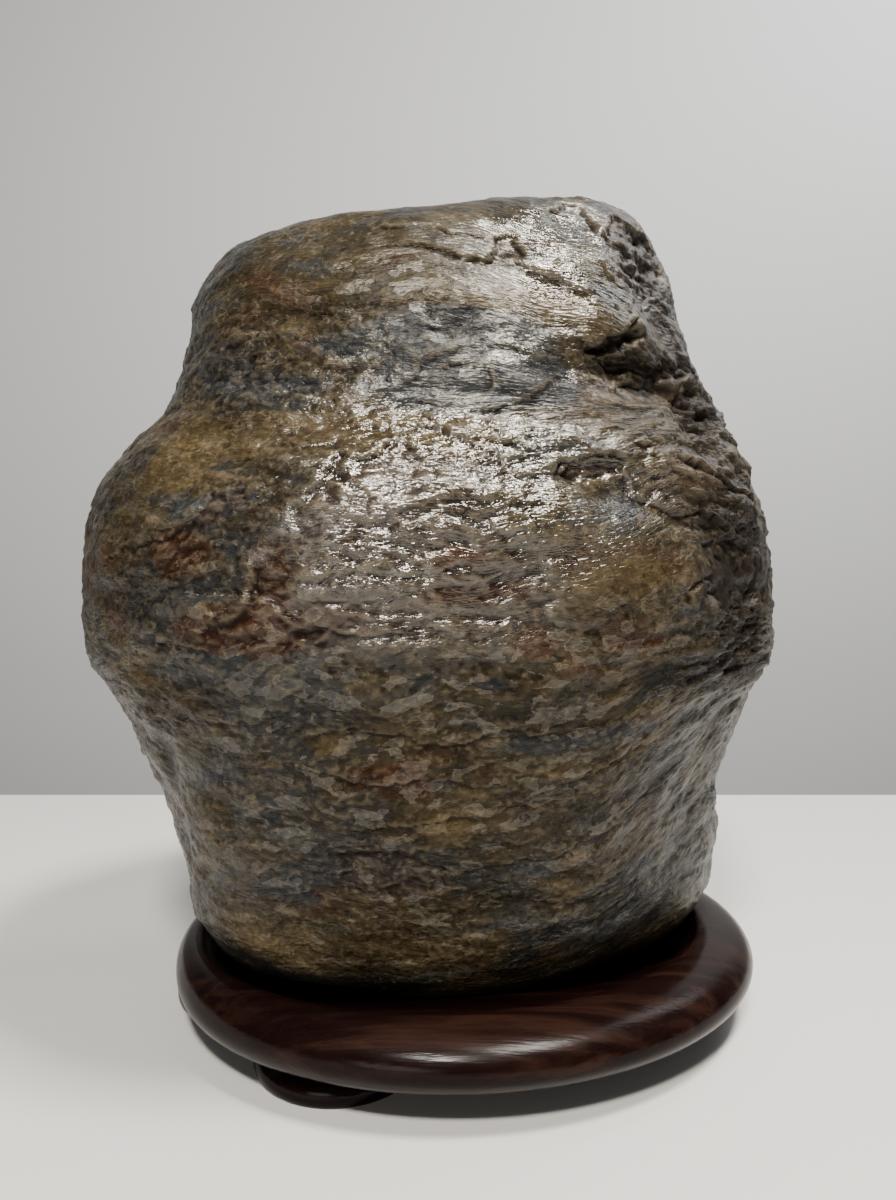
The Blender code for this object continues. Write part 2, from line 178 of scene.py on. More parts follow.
# Broken edges: height of the lip on the line's left, depth of the cut on its right, reach of both,
# and the line across and up.
EDGES = {
    "front": (
        (0.5, 0.8, 3.0, ((-31, 148), (-26, 151), (-24, 155), (-22.5, 159), (-21, 162))),
        (0.6, 1.0, 3.0, (
            (-22, 162), (-19, 160.5), (-15, 160), (-12, 161), (-10, 163), (-7, 164), (-4, 162))),
        (0.4, 0.2, 4.0, ((-6, 177), (-3, 183), (6, 186.5), (18, 187), (28, 184.5))),
        (0.5, 0.2, 4.0, ((-6, 176), (4, 172.5), (14, 172), (24, 175), (30, 181))),
        (0.4, 0.5, 2.4, ((2, 181), (7, 184), (13, 182.5), (14, 178), (8, 175.5))),
        (0.9, 0.2, 7.0, ((-16, 221), (-5, 219), (4, 217), (14, 215))),
        (1.2, 0.3, 13.0, ((-12, 213), (0, 212.5), (12, 210), (21, 208.5), (27, 206), (33, 204), (40, 201))),
        (0.7, 0.3, 10.0, ((-22, 168), (-8, 169), (4, 167), (14, 165), (24, 163))),
        (1.0, 1.0, 3.0, (
            (50, 198), (51, 203), (49, 206.5), (45.5, 208), (44, 212), (44, 218), (46, 224), (49, 231))),
        (0.4, 0.9, 2.4, ((54, 202), (60, 206), (64, 210), (68, 210))),
        (0.5, 0.8, 2.4, ((48, 222), (54, 220), (60, 222))),
        (0.5, 0.8, 2.4, ((47, 215), (54, 214), (62, 216))),
        (1.7, 1.0, 3.4, (
            (37, 189), (39, 189.8), (43, 191.6), (49, 195), (51, 197), (51.5, 195), (55, 194.5))),
        (1.0, 1.3, 2.4, ((38, 186.6), (45, 187.8), (50, 189), (55, 188), (60, 187), (61, 189), (69, 190))),
        (0.6, 0.7, 2.4, ((64, 179), (67, 183), (70, 188))),
        (0.8, 1.2, 2.0, ((43, 177.6), (47, 180), (50, 181), (55, 181))),
        (1.0, 1.6, 3.0, ((27, 155.5), (31, 160), (35, 161.5), (43, 162.5), (48, 161.5))),
        (0.6, 0.6, 2.4, ((49, 165), (54, 163), (56, 158), (53, 156))),
        (1.0, 1.2, 3.0, (
            (44, 158), (48, 151.5), (53, 152), (55, 151), (58, 149), (62, 147.5), (67, 148), (70, 147),
            (73, 145), (79, 141))),
        (0.6, 1.1, 2.4, ((51, 157), (58, 158.5), (67, 157))),
        (1.1, 1.4, 3.4, ((60, 163), (69, 161), (74, 158), (80, 156), (87, 151))),
        (0.6, 0.3, 4.0, ((-3, 171), (6, 166), (14, 161), (20, 156), (26, 156))),
        (0.6, 0.7, 2.0, ((14, 146), (15, 143.2), (19, 142.5), (24, 145), (22, 147.3), (17, 148.2))),
        (0.5, 0.6, 2.4, ((-18, 144), (-11, 145), (-4, 148), (2, 150), (8, 151))),
        (0.3, 0.7, 2.6, ((-12, 137.5), (-2, 139.5), (6, 141))),
        (0.3, 0.7, 2.6, ((-36, 134), (-26, 133), (-14, 135), (-2, 134), (10, 137))),
        (0.3, 0.6, 2.6, ((-30, 141), (-22, 140), (-14, 142))),
        (0.4, 0.7, 2.6, ((-32, 128), (-18, 127), (-4, 130), (10, 131), (20, 134))),
        (0.5, 0.5, 2.6, ((-28, 122), (-16, 120.5), (-2, 122), (8, 120))),
        (0.5, 0.8, 2.4, ((-42, 126), (-40, 132), (-39, 138))),
        (0.7, 0.9, 2.6, ((72, 131), (66, 131.5), (62, 129), (62, 125))),
        (0.9, 1.0, 2.6, ((69, 119), (72, 122.5), (76, 124.5), (82, 124.5), (88, 123))),
        (0.4, 0.6, 5.0, ((-34, 96), (-18, 97), (0, 94), (16, 97), (32, 96))),
        (0.4, 0.5, 5.0, ((-30, 88), (-14, 84), (4, 85), (22, 82))),
        (0.4, 0.5, 5.0, ((-24, 72), (-6, 73), (14, 76), (36, 84), (52, 92))),
        (0.4, 0.5, 5.0, ((10, 60), (30, 62), (48, 70), (64, 84))),
        (0.5, 0.5, 4.0, ((-84, 134), (-74, 140), (-62, 143), (-52, 148))),
        (0.5, 0.5, 4.0, ((-67, 118), (-57, 118), (-49, 116))),
        (0.5, 0.5, 5.0, ((-72, 96), (-60, 100), (-48, 98), (-36, 100))),
    ),
    "left": (
        (0.4, 0.4, 6.0, ((-46, 148), (-24, 152), (0, 148), (22, 152), (46, 146))),
        (0.4, 0.4, 6.0, ((-40, 104), (-14, 108), (12, 102), (36, 106))),
        (0.4, 0.5, 5.0, ((-30, 72), (-6, 76), (18, 72), (34, 76))),
        (0.3, 0.3, 5.0, ((-24, 206), (-4, 210), (18, 206), (30, 208))),
    ),
    "right": (
        (0.9, 1.0, 6.0, ((-34, 172), (-12, 168), (12, 172), (34, 166))),
        (0.6, 0.7, 6.0, ((-30, 108), (-6, 104), (18, 108), (40, 102))),
        (0.5, 0.6, 5.0, ((-24, 66), (0, 62), (22, 68), (40, 66))),
    ),
    "back": (
        (0.9, 1.0, 6.0, ((-64, 166), (-34, 172), (-6, 168), (24, 174), (56, 168))),
        (0.9, 1.0, 6.0, ((-60, 122), (-34, 118), (-8, 124), (20, 118), (54, 124))),
        (0.7, 0.8, 6.0, ((-56, 84), (-24, 88), (10, 82), (44, 88))),
        (0.6, 0.7, 5.0, ((-48, 52), (-16, 56), (18, 52), (50, 56))),
        (0.7, 0.8, 5.0, ((-44, 200), (-16, 206), (14, 200), (40, 206))),
    ),
}

# Broad forms that the skin follows: across, up, half width, half height, slope and lift.
FORMS = {
    "front": (
        (8, 202, 34, 8, -10, 1.7), (0, 171, 40, 6, 2, -1.3), (14, 180, 15, 7, -3, 0.7),
        (-6, 142, 30, 16, 0, 0.8), (57, 214, 8, 14, 10, -1.0), (30, 150, 14, 8, 0, 0.7),
        (-69, 74, 3, 24, -2, -1.2), (-58, 72, 5, 22, -2, 0.8), (30, 209, 16, 6, -24, 1.0),
        (14, 222, 22, 4, -6, 0.7),
    ),
    "left": ((-4, 197, 26, 5, 0, 0.8),),
}

# Marks of the skin: across, up, half width, half height, slope, and strength as a share.
SLATE_SPOTS = {
    "front": (
        (12, 180, 22, 8, -2, 1.9), (6, 193, 14, 5, 4, 1.1), (24, 190, 8, 5, 0, 0.8),
        (-16, 190, 16, 5, 10, 0.7), (-52, 184, 9, 8, 0, 1.0), (-34, 178, 12, 5, 8, 0.7),
        (-49, 149, 13, 3.5, 14, 1.1), (-28, 144, 9, 4.5, 0, 1.2), (-44, 140, 9, 5, 0, 0.7),
        (-6, 176, 10, 4, 0, 0.6), (-16, 60, 18, 8, 0, 1.0), (-2, 84, 14, 4, 0, 0.7),
        (34, 94, 26, 4, 4, 0.8), (54, 52, 10, 8, 20, 0.9), (26, 60, 12, 5, 10, 0.7),
        (-54, 84, 14, 8, 20, 0.7), (-40, 54, 12, 8, 0, 0.6), (12, 108, 20, 3, 2, 0.5),
    ),
    "left": ((0, 160, 20, 8, 10, 0.8), (10, 96, 22, 10, -6, 0.8), (-14, 60, 16, 10, 0, 0.7)),
    "right": ((10, 180, 16, 8, 0, 0.8), (-6, 76, 22, 10, 20, 0.9), (20, 116, 16, 8, 0, 0.6)),
    "back": (
        (-26, 186, 26, 8, 6, 0.9), (30, 146, 24, 8, -8, 0.8), (-10, 100, 34, 8, 4, 0.8),
        (36, 62, 20, 10, 0, 0.8), (-46, 60, 16, 8, 0, 0.7),
    ),
    "top": ((20, 10, 18, 12, 0, 0.6),),
}
OCHRE_AND_PAINTED_LIGHT_SPOTS = {
    "front": (
        (-30, 167, 28, 6, 0, 1.3), (0, 167, 16, 4, 0, 1.0), (-58, 160, 14, 6, 24, 1.0),
        (-80, 146, 10, 5, 30, 0.7), (42, 132, 18, 6, 10, 1.0), (30, 143, 3, 2.5, 0, 1.4),
        (20, 198, 22, 6, -10, 0.8), (-2, 80, 26, 6, 2, 0.6), (-24, 94, 6, 4, 0, 1.1),
        # The spots low on the front and on its left flank are partly the stone's own olive-gold and partly
        # painted light, lightening places left in shade.
        (-6, 70, 22, 5, 0, 0.7), (40, 198, 6, 12, 0, 0.5), (0, 34, 60, 9, 0, 0.8),
        (-60, 60, 10, 20, 0, 0.7), (-74, 110, 12, 12, 0, 0.6), (64, 186, 6, 8, 0, 0.9),
        (62, 200, 5, 8, 0, 0.9), (-40, 40, 24, 8, -12, 0.6), (-78, 120, 8, 6, 0, 0.5),
    ),
    "left": ((6, 172, 22, 5, 0, 0.8), (-10, 140, 24, 6, 0, 0.7)),
    "right": ((-2, 134, 24, 7, 0, 0.8), (8, 206, 16, 8, 0, 0.7)),
    "back": (
        (0, 168, 40, 6, 0, 0.9), (-30, 112, 26, 7, 0, 0.7), (26, 202, 20, 7, 0, 0.7),
        (6, 74, 30, 7, 0, 0.7),
    ),
}
RUST_SPOTS = {
    "front": (
        (-45, 121, 13, 5, 0, 2.2), (-36, 134, 4, 9, 0, 1.2), (-59, 139, 9, 5, 10, 1.4),
        (-37, 130, 4, 8, 0, 1.2), (10, 130, 18, 4, 0, 0.9), (-12, 124, 20, 4, 0, 0.7),
        (-8, 84, 12, 5, -8, 1.0), (4, 138, 12, 3, 0, 1.2), (46, 118, 14, 3, 0, 0.7),
        (24, 118, 5, 4, 0, 0.9), (-78, 122, 4, 3, 0, 0.9), (26, 76, 8, 3, 0, 0.6),
    ),
    "left": ((-20, 122, 12, 5, 0, 0.9),),
    "right": ((14, 140, 12, 5, 0, 0.8),),
    "back": ((-28, 140, 16, 6, 0, 0.9), (40, 104, 12, 5, 0, 0.9)),
}
POLISHED_SPOTS = {
    "front": (
        (-8, 142, 30, 22, 0, 1.2), (4, 164, 30, 8, -6, 1.2), (37, 209, 18, 15, 0, 1.4),
        (24, 224, 20, 6, 0, 0.9), (30, 184, 18, 5, -8, 0.5), (-4, 152, 24, 9, 0, 0.8),
        (38, 145, 20, 11, 14, 1.1), (50, 154, 14, 7, 0, 0.8), (20, 122, 16, 6, 0, 0.5),
    ),
    "left": ((6, 146, 26, 14, 0, 0.8),),
    "right": ((4, 150, 24, 14, 0, 0.8), (14, 202, 20, 12, 0, 0.7)),
    "back": ((-10, 150, 40, 18, 0, 0.9), (20, 206, 26, 12, 0, 0.8)),
    "top": ((0, 8, 50, 24, 0, 0.6),),
}
SMOOTH_SPOTS = {
    "front": (
        (-4, 218, 40, 13, 0, 1.0), (30, 212, 22, 10, -12, 0.9), (46, 138, 20, 13, 8, 0.9),
        (22, 199, 20, 5, -14, 1.2), (12, 180, 18, 7, -2, 1.1), (62, 196, 8, 9, 0, 1.2),
        (66, 184, 5, 4, 0, 1.0), (-34, 206, 22, 10, 4, 0.9), (-38, 168, 26, 5, 3, 0.4),
        (36, 172, 16, 6, -6, 0.7), (-28, 144, 9, 5, 0, 1.0), (-60, 160, 12, 6, 20, 0.5),
        (0, 230, 40, 5, 4, 0.6),
    ),
    "left": ((4, 206, 24, 14, 0, 0.8), (0, 156, 24, 8, 0, 0.6)),
    "right": ((6, 160, 20, 10, 0, 0.6),),
    "back": ((10, 180, 34, 8, 0, 0.7),),
    "top": ((0, 4, 44, 22, 0, 0.7),),
}
CRUST_SPOTS = {
    "front": (
        (64, 204, 6, 18, 8, 0.8), (80, 128, 8, 18, 0, 0.7), (62, 150, 12, 4, -20, 0.6),
        (56, 218, 10, 14, 0, 0.9), (54, 188, 16, 4, 0, 1.0), (71, 174, 7, 8, 0, 1.4),
        (78, 134, 10, 10, 0, 1.2), (78, 116, 10, 8, 0, 1.2), (-48, 188, 12, 7, 0, 0.8),
        (60, 108, 16, 6, 0, 0.7), (-70, 128, 16, 10, 0, 0.6), (-60, 104, 14, 8, 0, 0.6),
        (78, 152, 12, 10, -30, 1.0),
    ),
    "left": ((20, 128, 20, 14, 0, 0.7), (0, 84, 24, 10, 0, 0.6)),
    "right": ((4, 132, 26, 16, 0, 0.8), (-16, 186, 16, 12, 0, 0.8)),
    "back": ((-20, 142, 30, 14, 0, 0.9), (40, 100, 22, 14, 0, 0.8), (-30, 70, 22, 10, 0, 0.6)),
}
SPOTS = {
    "slate": SLATE_SPOTS,
    "ochre_and_painted_light": OCHRE_AND_PAINTED_LIGHT_SPOTS,
    "rust": RUST_SPOTS,
    "polish": POLISHED_SPOTS,
    "smooth": SMOOTH_SPOTS,
    "crust": CRUST_SPOTS,
}

# ---------------------------------------------------------------- the carving
# Heights of the carving in millimetres.
PLATE_STEP = 0.34
PLATES_TAKEN_OFF = 2.7               # the mean number of steps, so that the skin stays in place
WRINKLE_LIFT = 0.34
NARROW_WRINKLE_LIFT = 0.26
FINE_WRINKLE_LIFT = 0.14
LUMP_LIFT = 0.45
RIPPLE_CUT = 1.05
FOLD_CUT = 0.55

# Where noise passes these levels, the skin steps up by a plate or by a flake.
PLATE_LEVELS = (-0.45, -0.15, 0.18, 0.5)
FLAKE_LEVELS = (-0.25, 0.25)
FLAKE_SHARE = 0.7                    # height of a flake's step as a share of a plate's

# How coarse the thinned mesh may be, as a share. Where the tray hides it, the share is 1.
COARSENESS = 0.30
MORE_BEHIND = 0.30
WEIGHT_LEVELS = 8                    # the shares are rounded to this many steps


def unit_step(values):
    """Smooth step from 0 to 1 as the values go from 0 to 1."""
    held = np.clip(values, 0, 1)
    return held * held * (3 - 2 * held)


def entries(table):
    """Each entry of a table that lists its entries by side, with its side in front."""
    for side, group in table.items():
        for entry in group:
            yield side, *entry


# ---------------------------------------------------------------- noise on whole arrays of points
GRADIENT_COUNT = 256
HASH_STEPS = np.array([73856093, 19349663, 83492791])
HASH_FACTOR = 1274126177
SEED_STEP = 668265263
NOISE_REACH = 1.6                    # brings the noise to between about -1 and 1
OCTAVE_STEP = 2.03


def spread_directions(count):
    """Unit directions spread evenly over a sphere."""
    step = np.arange(count) + 0.5
    height = 1 - 2 * step / count
    across = np.sqrt(1 - height**2)
    turn = step * math.pi * (3 - math.sqrt(5))
    return np.stack([across * np.cos(turn), across * np.sin(turn), height], 1)


GRADIENTS = spread_directions(GRADIENT_COUNT)


def hashed(cells, seed=0):
    """A whole number for each cell that looks like chance and is the same every time."""
    mixed = cells @ HASH_STEPS + seed * SEED_STEP
    mixed = (mixed ^ (mixed >> 15)) * HASH_FACTOR
    return mixed ^ (mixed >> 13)


def noise_at(points, seed):
    """Smooth noise between about -1 and 1, one wave for each unit of length."""
    cell = np.floor(points).astype(np.int64)
    part = points - cell
    ease = part**3 * (part * (part * 6 - 15) + 10)
    total = np.zeros(len(points))
    for corner in itertools.product((0, 1), repeat=3):
        gradient = GRADIENTS[hashed(cell + corner, seed) % GRADIENT_COUNT]
        share = np.where(np.array(corner) == 1, ease, 1 - ease).prod(1)
        total += share * ((part - corner) * gradient).sum(1)
    return total * NOISE_REACH


def layered_noise(points, seed, octaves):
    """Noise with finer noise of half the height on it, as often as there are octaves."""
    total = np.zeros(len(points))
    for octave in range(octaves):
        total += 0.5**octave * noise_at(points * OCTAVE_STEP**octave, seed + octave)
    return total


def noise_vectors(points, size, first_seed):
    """Three noises for each point, with waves of this size in millimetres."""
    scaled = points / (size * MM)
    return np.stack([noise_at(scaled, first_seed + axis) for axis in range(3)], 1)


# ---------------------------------------------------------------- the rock's bedding
def bedding(points):
    """Each point's place along, into and across the bedding, in metres.

    The beds lie level, apart from the right of the front. There they fall a little to the right
    over the head, rise a little over the belly, and rise steeply at the foot.
    """
    x, y, z = points.T
    right = np.maximum(x - 12 * MM, 0)
    far_right = np.maximum(x - 42 * MM, 0)
    head = unit_step((z - 168 * MM) / (14 * MM))
    belly = unit_step((z - 112 * MM) / (34 * MM)) * (1 - head)
    base = 1 - unit_step((z - 96 * MM) / (30 * MM))
    front = unit_step((20 * MM - y) / (50 * MM))
    dip = front * (-0.20 * right * head + 0.14 * right * belly + 0.62 * far_right * base)
    bend = 2.6 * MM * layered_noise(points / (34 * MM), seed=11, octaves=2)
    return np.stack([x, y, z - dip + bend], 1)


def along_bedding(beds, length, thickness):
    """The beds measured in grains of this length and thickness in millimetres."""
    return beds / np.array([length * MM, length * MM, thickness * MM])


def side_view(points, side):
    """Each point's place across and up one side, and the direction that the side faces."""
    across, up, outward = (np.array(axis, float) for axis in SIDES[side])
    return points @ across, points @ up, outward


def facing(normals, outward):
    """1 where the surface faces outward, falling to 0 where it turns away."""
    return unit_step(normals @ outward / FACING_REACH)


def in_metres(line):
    return [(across * MM, up * MM) for across, up in line]


def spot_mask(points, normals, spots):
    """How strongly each point lies in any of the spots."""
    total = np.zeros(len(points))
    for side, across, up, half_width, half_height, slope, strength in entries(spots):
        x, z, outward = side_view(points, side)
        turn = math.radians(slope)
        east = x - across * MM
        north = z - up * MM
        u = (east * math.cos(turn) + north * math.sin(turn)) / (half_width * MM)
        v = (north * math.cos(turn) - east * math.sin(turn)) / (half_height * MM)
        total += strength * np.exp(-(u * u + v * v)) * facing(normals, outward)
    return total


def segment_offsets(x, z, start, end):
    """Distance to the segment, the side that each point lies on and its share of the way along.

    The side is 1 on the segment's left and -1 on its right.
    """
    run = np.array(end) - np.array(start)
    east = x - start[0]
    north = z - start[1]
    share = np.clip((east * run[0] + north * run[1]) / (run @ run), 0, 1)
    gap = np.hypot(east - share * run[0], north - share * run[1])
    left = np.sign(run[0] * north - run[1] * east)
    return gap, left, share


def inside_outline(x, z, outline):
    """Signed distance to a closed outline, positive inside it."""
    nearest = np.full(len(x), FAR_AWAY)
    inside = np.zeros(len(x), bool)
    corners = in_metres(outline)
    for start, end in zip(corners, corners[1:] + corners[:1]):
        gap, _, _ = segment_offsets(x, z, start, end)
        nearest = np.minimum(nearest, gap)
        if start[1] == end[1]:
            continue
        crosses = (start[1] > z) != (end[1] > z)
        reach = (end[0] - start[0]) * (z - start[1]) / (end[1] - start[1]) + start[0]
        inside ^= crosses & (x < reach)
    return np.where(inside, nearest, -nearest)


def ragged(points, beds):
    """The same points shaken a little, so that lines drawn on them come out ragged."""
    coarse = along_bedding(beds, 9, 5)
    fine = along_bedding(beds, 3.2, 1.8)
    shaken = points.copy()
    for axis, seed in enumerate((21, 25, 29)):
        shaken[:, axis] += 1.5 * MM * noise_at(coarse, seed) + 0.75 * MM * noise_at(fine, seed + 2)
    return shaken


def peeled_mask(points, normals, beds):
    """Depth in metres that the skin has come away by at each point, and a 0 to 1 mask of it."""
    depth = np.zeros(len(points))
    mask = np.zeros(len(points))
    shaken = ragged(points, beds)
    for side, step, slope, outline in entries(PEELED):
        x, z, outward = side_view(shaken, side)
        gap = inside_outline(x, z, outline)
        share = unit_step(gap / (slope * MM) + 0.5) * facing(normals, outward)
        depth = np.maximum(depth, share * step * MM)
        mask = np.maximum(mask, share)
    return depth, mask


def edge_relief(points, normals, beds):
    """Lift from the broken edges: a lip over a cut, both fading out at the ends of the line."""
    lift = np.zeros(len(points))
    shaken = ragged(points, beds)
    for side, lip, cut, reach, line in entries(EDGES):
        x, z, outward = side_view(shaken, side)
        corners = in_metres(line)
        nearest = np.full(len(x), FAR_AWAY)
        signed = np.zeros(len(x))
        fade = np.zeros(len(x))
        last = len(corners) - 2
        for index, (start, end) in enumerate(zip(corners, corners[1:])):
            gap, left, share = segment_offsets(x, z, start, end)
            closer = gap < nearest
            nearest = np.where(closer, gap, nearest)
            signed = np.where(closer, gap * left, signed)
            ends = 1.0
            if index == 0:
                ends = unit_step(share * 2.5)
            if index == last:
                ends = ends * unit_step((1 - share) * 2.5)
            fade = np.where(closer, ends, fade)
        over = np.exp(-nearest / (0.75 * reach * MM))
        under = np.exp(-nearest / (0.30 * reach * MM))
        rise = unit_step(signed / (0.5 * MM) + 0.5)
        lift += fade * facing(normals, outward) * MM * (lip * rise * over - cut * (1 - rise) * under)
    return lift


def plate_relief(beds, strength):
    """Steps between thin plates of the skin, as if a few leaves of it had flaked off."""
    plates = layered_noise(along_bedding(beds, 22, 9.5), seed=41, octaves=2)
    plates += 0.36 * noise_at(along_bedding(beds, 6, 3.0), seed=45)
    plates += 0.18 * noise_at(along_bedding(beds, 2.6, 1.4), seed=47)
    flakes = noise_at(along_bedding(beds, 10, 5.0), seed=43)
    flakes += 0.4 * noise_at(along_bedding(beds, 3.6, 2.0), seed=48)
    steps = np.zeros(len(beds))
    for level in PLATE_LEVELS:
        steps += unit_step((plates - level) / 0.05 + 0.5)
    for level in FLAKE_LEVELS:
        steps += FLAKE_SHARE * unit_step((flakes - level) / 0.07 + 0.5)
    return strength * (steps - PLATES_TAKEN_OFF) * PLATE_STEP * MM


def wrinkle_relief(beds):
    """Low wrinkles that follow the bedding."""
    broad = noise_at(along_bedding(beds, 15, 4.6), seed=51)
    narrow = 1 - 2 * np.abs(noise_at(along_bedding(beds, 9, 2.8), seed=53))
    fine = noise_at(along_bedding(beds, 4.4, 1.7), seed=55)
    return WRINKLE_LIFT * MM * broad + NARROW_WRINKLE_LIFT * MM * narrow + FINE_WRINKLE_LIFT * MM * fine


def lumpy_relief(points, beds):
    """Low lumps and folds of the bare stone under the skin."""
    warp = noise_vectors(points, 6, first_seed=67)
    lumps = noise_at(along_bedding(beds, 11, 5), seed=61)
    ripples = np.abs(noise_at(along_bedding(beds, 9, 3.8) + 0.35 * warp, seed=63))
    folds = np.abs(noise_at(along_bedding(beds, 4.6, 2.2) + 0.4 * warp, seed=65))
    return LUMP_LIFT * MM * lumps - RIPPLE_CUT * MM * ripples - FOLD_CUT * MM * folds + LUMP_LIFT * MM


def chip_relief(points, beds):
    """Broken facets, each with its own height and tilt, from about -1 to 1."""
    cells = along_bedding(beds, 7.5, 4.4) + 0.35 * noise_vectors(points, 5, first_seed=71)
    base = np.floor(cells).astype(np.int64)
    nearest = np.full(len(cells), FAR_AWAY)
    chosen = np.zeros(len(cells), np.int64)
    away = np.zeros_like(cells)
    for offset in itertools.product((-1, 0, 1), repeat=3):
        cell = base + offset
        chance = hashed(cell)
        apart = cells - (cell + 0.5 + 0.45 * GRADIENTS[chance % GRADIENT_COUNT])
        gap = np.square(apart).sum(1)
        closer = gap < nearest
        nearest = np.where(closer, gap, nearest)
        chosen = np.where(closer, chance, chosen)
        away = np.where(closer[:, None], apart, away)
    height = (chosen >> 9) % 1024 / 512 - 1
    tilt = GRADIENTS[(chosen >> 21) % GRADIENT_COUNT]
    return 0.7 * height + 0.6 * (away * tilt).sum(1)


# ---------------------------------------------------------------- working on meshes
def deselect_all():
    for other in bpy.context.selected_objects:
        other.select_set(False)


def only(obj):
    """Selects one object, makes it active and leaves every other unselected."""
    deselect_all()
    obj.select_set(True)
    bpy.context.view_layer.objects.active = obj


def vertex_places(mesh):
    places = np.empty(len(mesh.vertices) * 3)
    mesh.vertices.foreach_get("co", places)
    return places.reshape(-1, 3)


def vertex_normals(mesh):
    normals = np.empty(len(mesh.vertices) * 3)
    mesh.vertices.foreach_get("normal", normals)
    return normals.reshape(-1, 3)


def mesh_edges(mesh):
    pairs = np.empty(len(mesh.edges) * 2, np.int64)
    mesh.edges.foreach_get("vertices", pairs)
    return pairs.reshape(-1, 2)


def smoothed(values, pairs, rounds):
    """Rows of values evened out over each vertex's neighbours, this many times."""
    count = np.bincount(pairs.ravel(), minlength=len(values))[:, None]
    held = values
    for _ in range(rounds):
        total = np.stack([
            np.bincount(pairs[:, 0], column[pairs[:, 1]], len(held))
            + np.bincount(pairs[:, 1], column[pairs[:, 0]], len(held))
            for column in held.T
        ], 1)
        held = (held + total) / (count + 1)
    return held


def store_float(mesh, name, values):
    layer = mesh.attributes.new(name, "FLOAT", "POINT")
    layer.data.foreach_set("value", np.ascontiguousarray(values, np.float32))


def store_vector(mesh, name, values):
    layer = mesh.attributes.new(name, "FLOAT_VECTOR", "POINT")
    layer.data.foreach_set("vector", np.ascontiguousarray(values, np.float32).ravel())


def fine_copy(node, name, levels):
    """A merged, quad-faced copy of a CAD node with its faces divided evenly and smoothly."""
    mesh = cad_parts[node].data.copy()
    mesh.name = name
    piece = bpy.data.objects.new(name, mesh)
    bpy.context.scene.collection.objects.link(piece)
    only(piece)
    bpy.ops.object.mode_set(mode="EDIT")
    bpy.ops.mesh.select_all(action="SELECT")
    bpy.ops.mesh.remove_doubles(threshold=MERGE_DISTANCE)
    bpy.ops.mesh.tris_convert_to_quads(face_threshold=math.pi, shape_threshold=math.pi)
    bpy.ops.mesh.normals_make_consistent(inside=False)
    bpy.ops.object.mode_set(mode="OBJECT")
    smooth = piece.modifiers.new("smooth", "SUBSURF")
    smooth.levels = levels
    smooth.render_levels = levels
    bpy.ops.object.modifier_apply(modifier=smooth.name)
    return piece


def shape_rock(piece):
    """Carves the skin, the broken edges and the wrinkles into the finely divided rock."""
    mesh = piece.data
    points = vertex_places(mesh)
    normals = vertex_normals(mesh)
    beds = bedding(points)
    above_seat = unit_step((points[:, 2] - 20 * MM) / (14 * MM))
    crust = np.clip(spot_mask(points, normals, CRUST_SPOTS), 0, 1.4)
    depth, bare = peeled_mask(points, normals, beds)
    rough = 1 - 0.7 * np.clip(spot_mask(points, normals, SMOOTH_SPOTS), 0, 1)
    lift = edge_relief(points, normals, beds) + spot_mask(points, normals, FORMS) * MM
    lift += plate_relief(beds, 0.80 * rough + 0.9 * crust)
    lift += wrinkle_relief(beds) * rough * (0.62 - 0.45 * bare)
    lift += lumpy_relief(points, beds) * (bare + 0.3 * crust)
    lift += chip_relief(points, beds) * MM * (0.12 * rough + 0.05 * bare + 0.24 * crust)
    lift -= depth
    moved = points + (lift * above_seat)[:, None] * normals
    low, high = (np.array(corner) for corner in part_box("rock"))
    moved = np.clip(moved, low + BOX_MARGIN, high - BOX_MARGIN)
    mesh.vertices.foreach_set("co", moved.astype(np.float32).ravel())
    mesh.update()


def thin_out(piece, triangles):
    """Takes the mesh down to this many triangles, coarser at the back and where the tray hides it."""
    have = sum(len(polygon.vertices) - 2 for polygon in piece.data.polygons)
    only(piece)
    coarser = piece.vertex_groups.new(name="coarser")
    places = vertex_places(piece.data)
    behind = unit_step((places[:, 1] + 5 * MM) / (50 * MM))
    hidden = 1 - unit_step((places[:, 2] - 17 * MM) / (6 * MM))
    share = np.maximum(COARSENESS + MORE_BEHIND * behind, hidden)
    for level in range(WEIGHT_LEVELS + 1):
        chosen = np.nonzero(np.round(share * WEIGHT_LEVELS) == level)[0]
        coarser.add(chosen.tolist(), level / WEIGHT_LEVELS, "REPLACE")
    thinner = piece.modifiers.new("thinner", "DECIMATE")
    thinner.ratio = min(1.0, triangles / have)
    thinner.vertex_group = coarser.name
    thinner.vertex_group_factor = 1.0
    bpy.ops.object.modifier_apply(modifier=thinner.name)


def store_finish(piece):
    """Writes the masks that the stone's material reads."""
    mesh = piece.data
    points = vertex_places(mesh)
    normals = vertex_normals(mesh)
    pairs = mesh_edges(mesh)
    beds = bedding(points)
    _, bare = peeled_mask(points, normals, beds)
    near = ((smoothed(points, pairs, 1) - points) * normals).sum(1)
    wide = ((smoothed(points, pairs, 10) - points) * normals).sum(1)
    store_vector(mesh, "grain", beds)
    store_float(mesh, "bare", bare)
    for name, spots in SPOTS.items():
        store_float(mesh, name, np.clip(spot_mask(points, normals, spots), 0, 1))
    # Painted shade: this mask darkens the stone's colour and dims its shine in concave places, where shade
    # falls.
    store_float(mesh, "hollow", np.clip(near / (0.20 * MM) + wide / (0.9 * MM) - 0.45, 0, 1))
    # Ridges lightened, partly as wear and partly as painted highlight where light catches them.
    store_float(mesh, "worn", np.clip(-near / (0.20 * MM) - wide / (1.2 * MM) - 0.35, 0, 1))


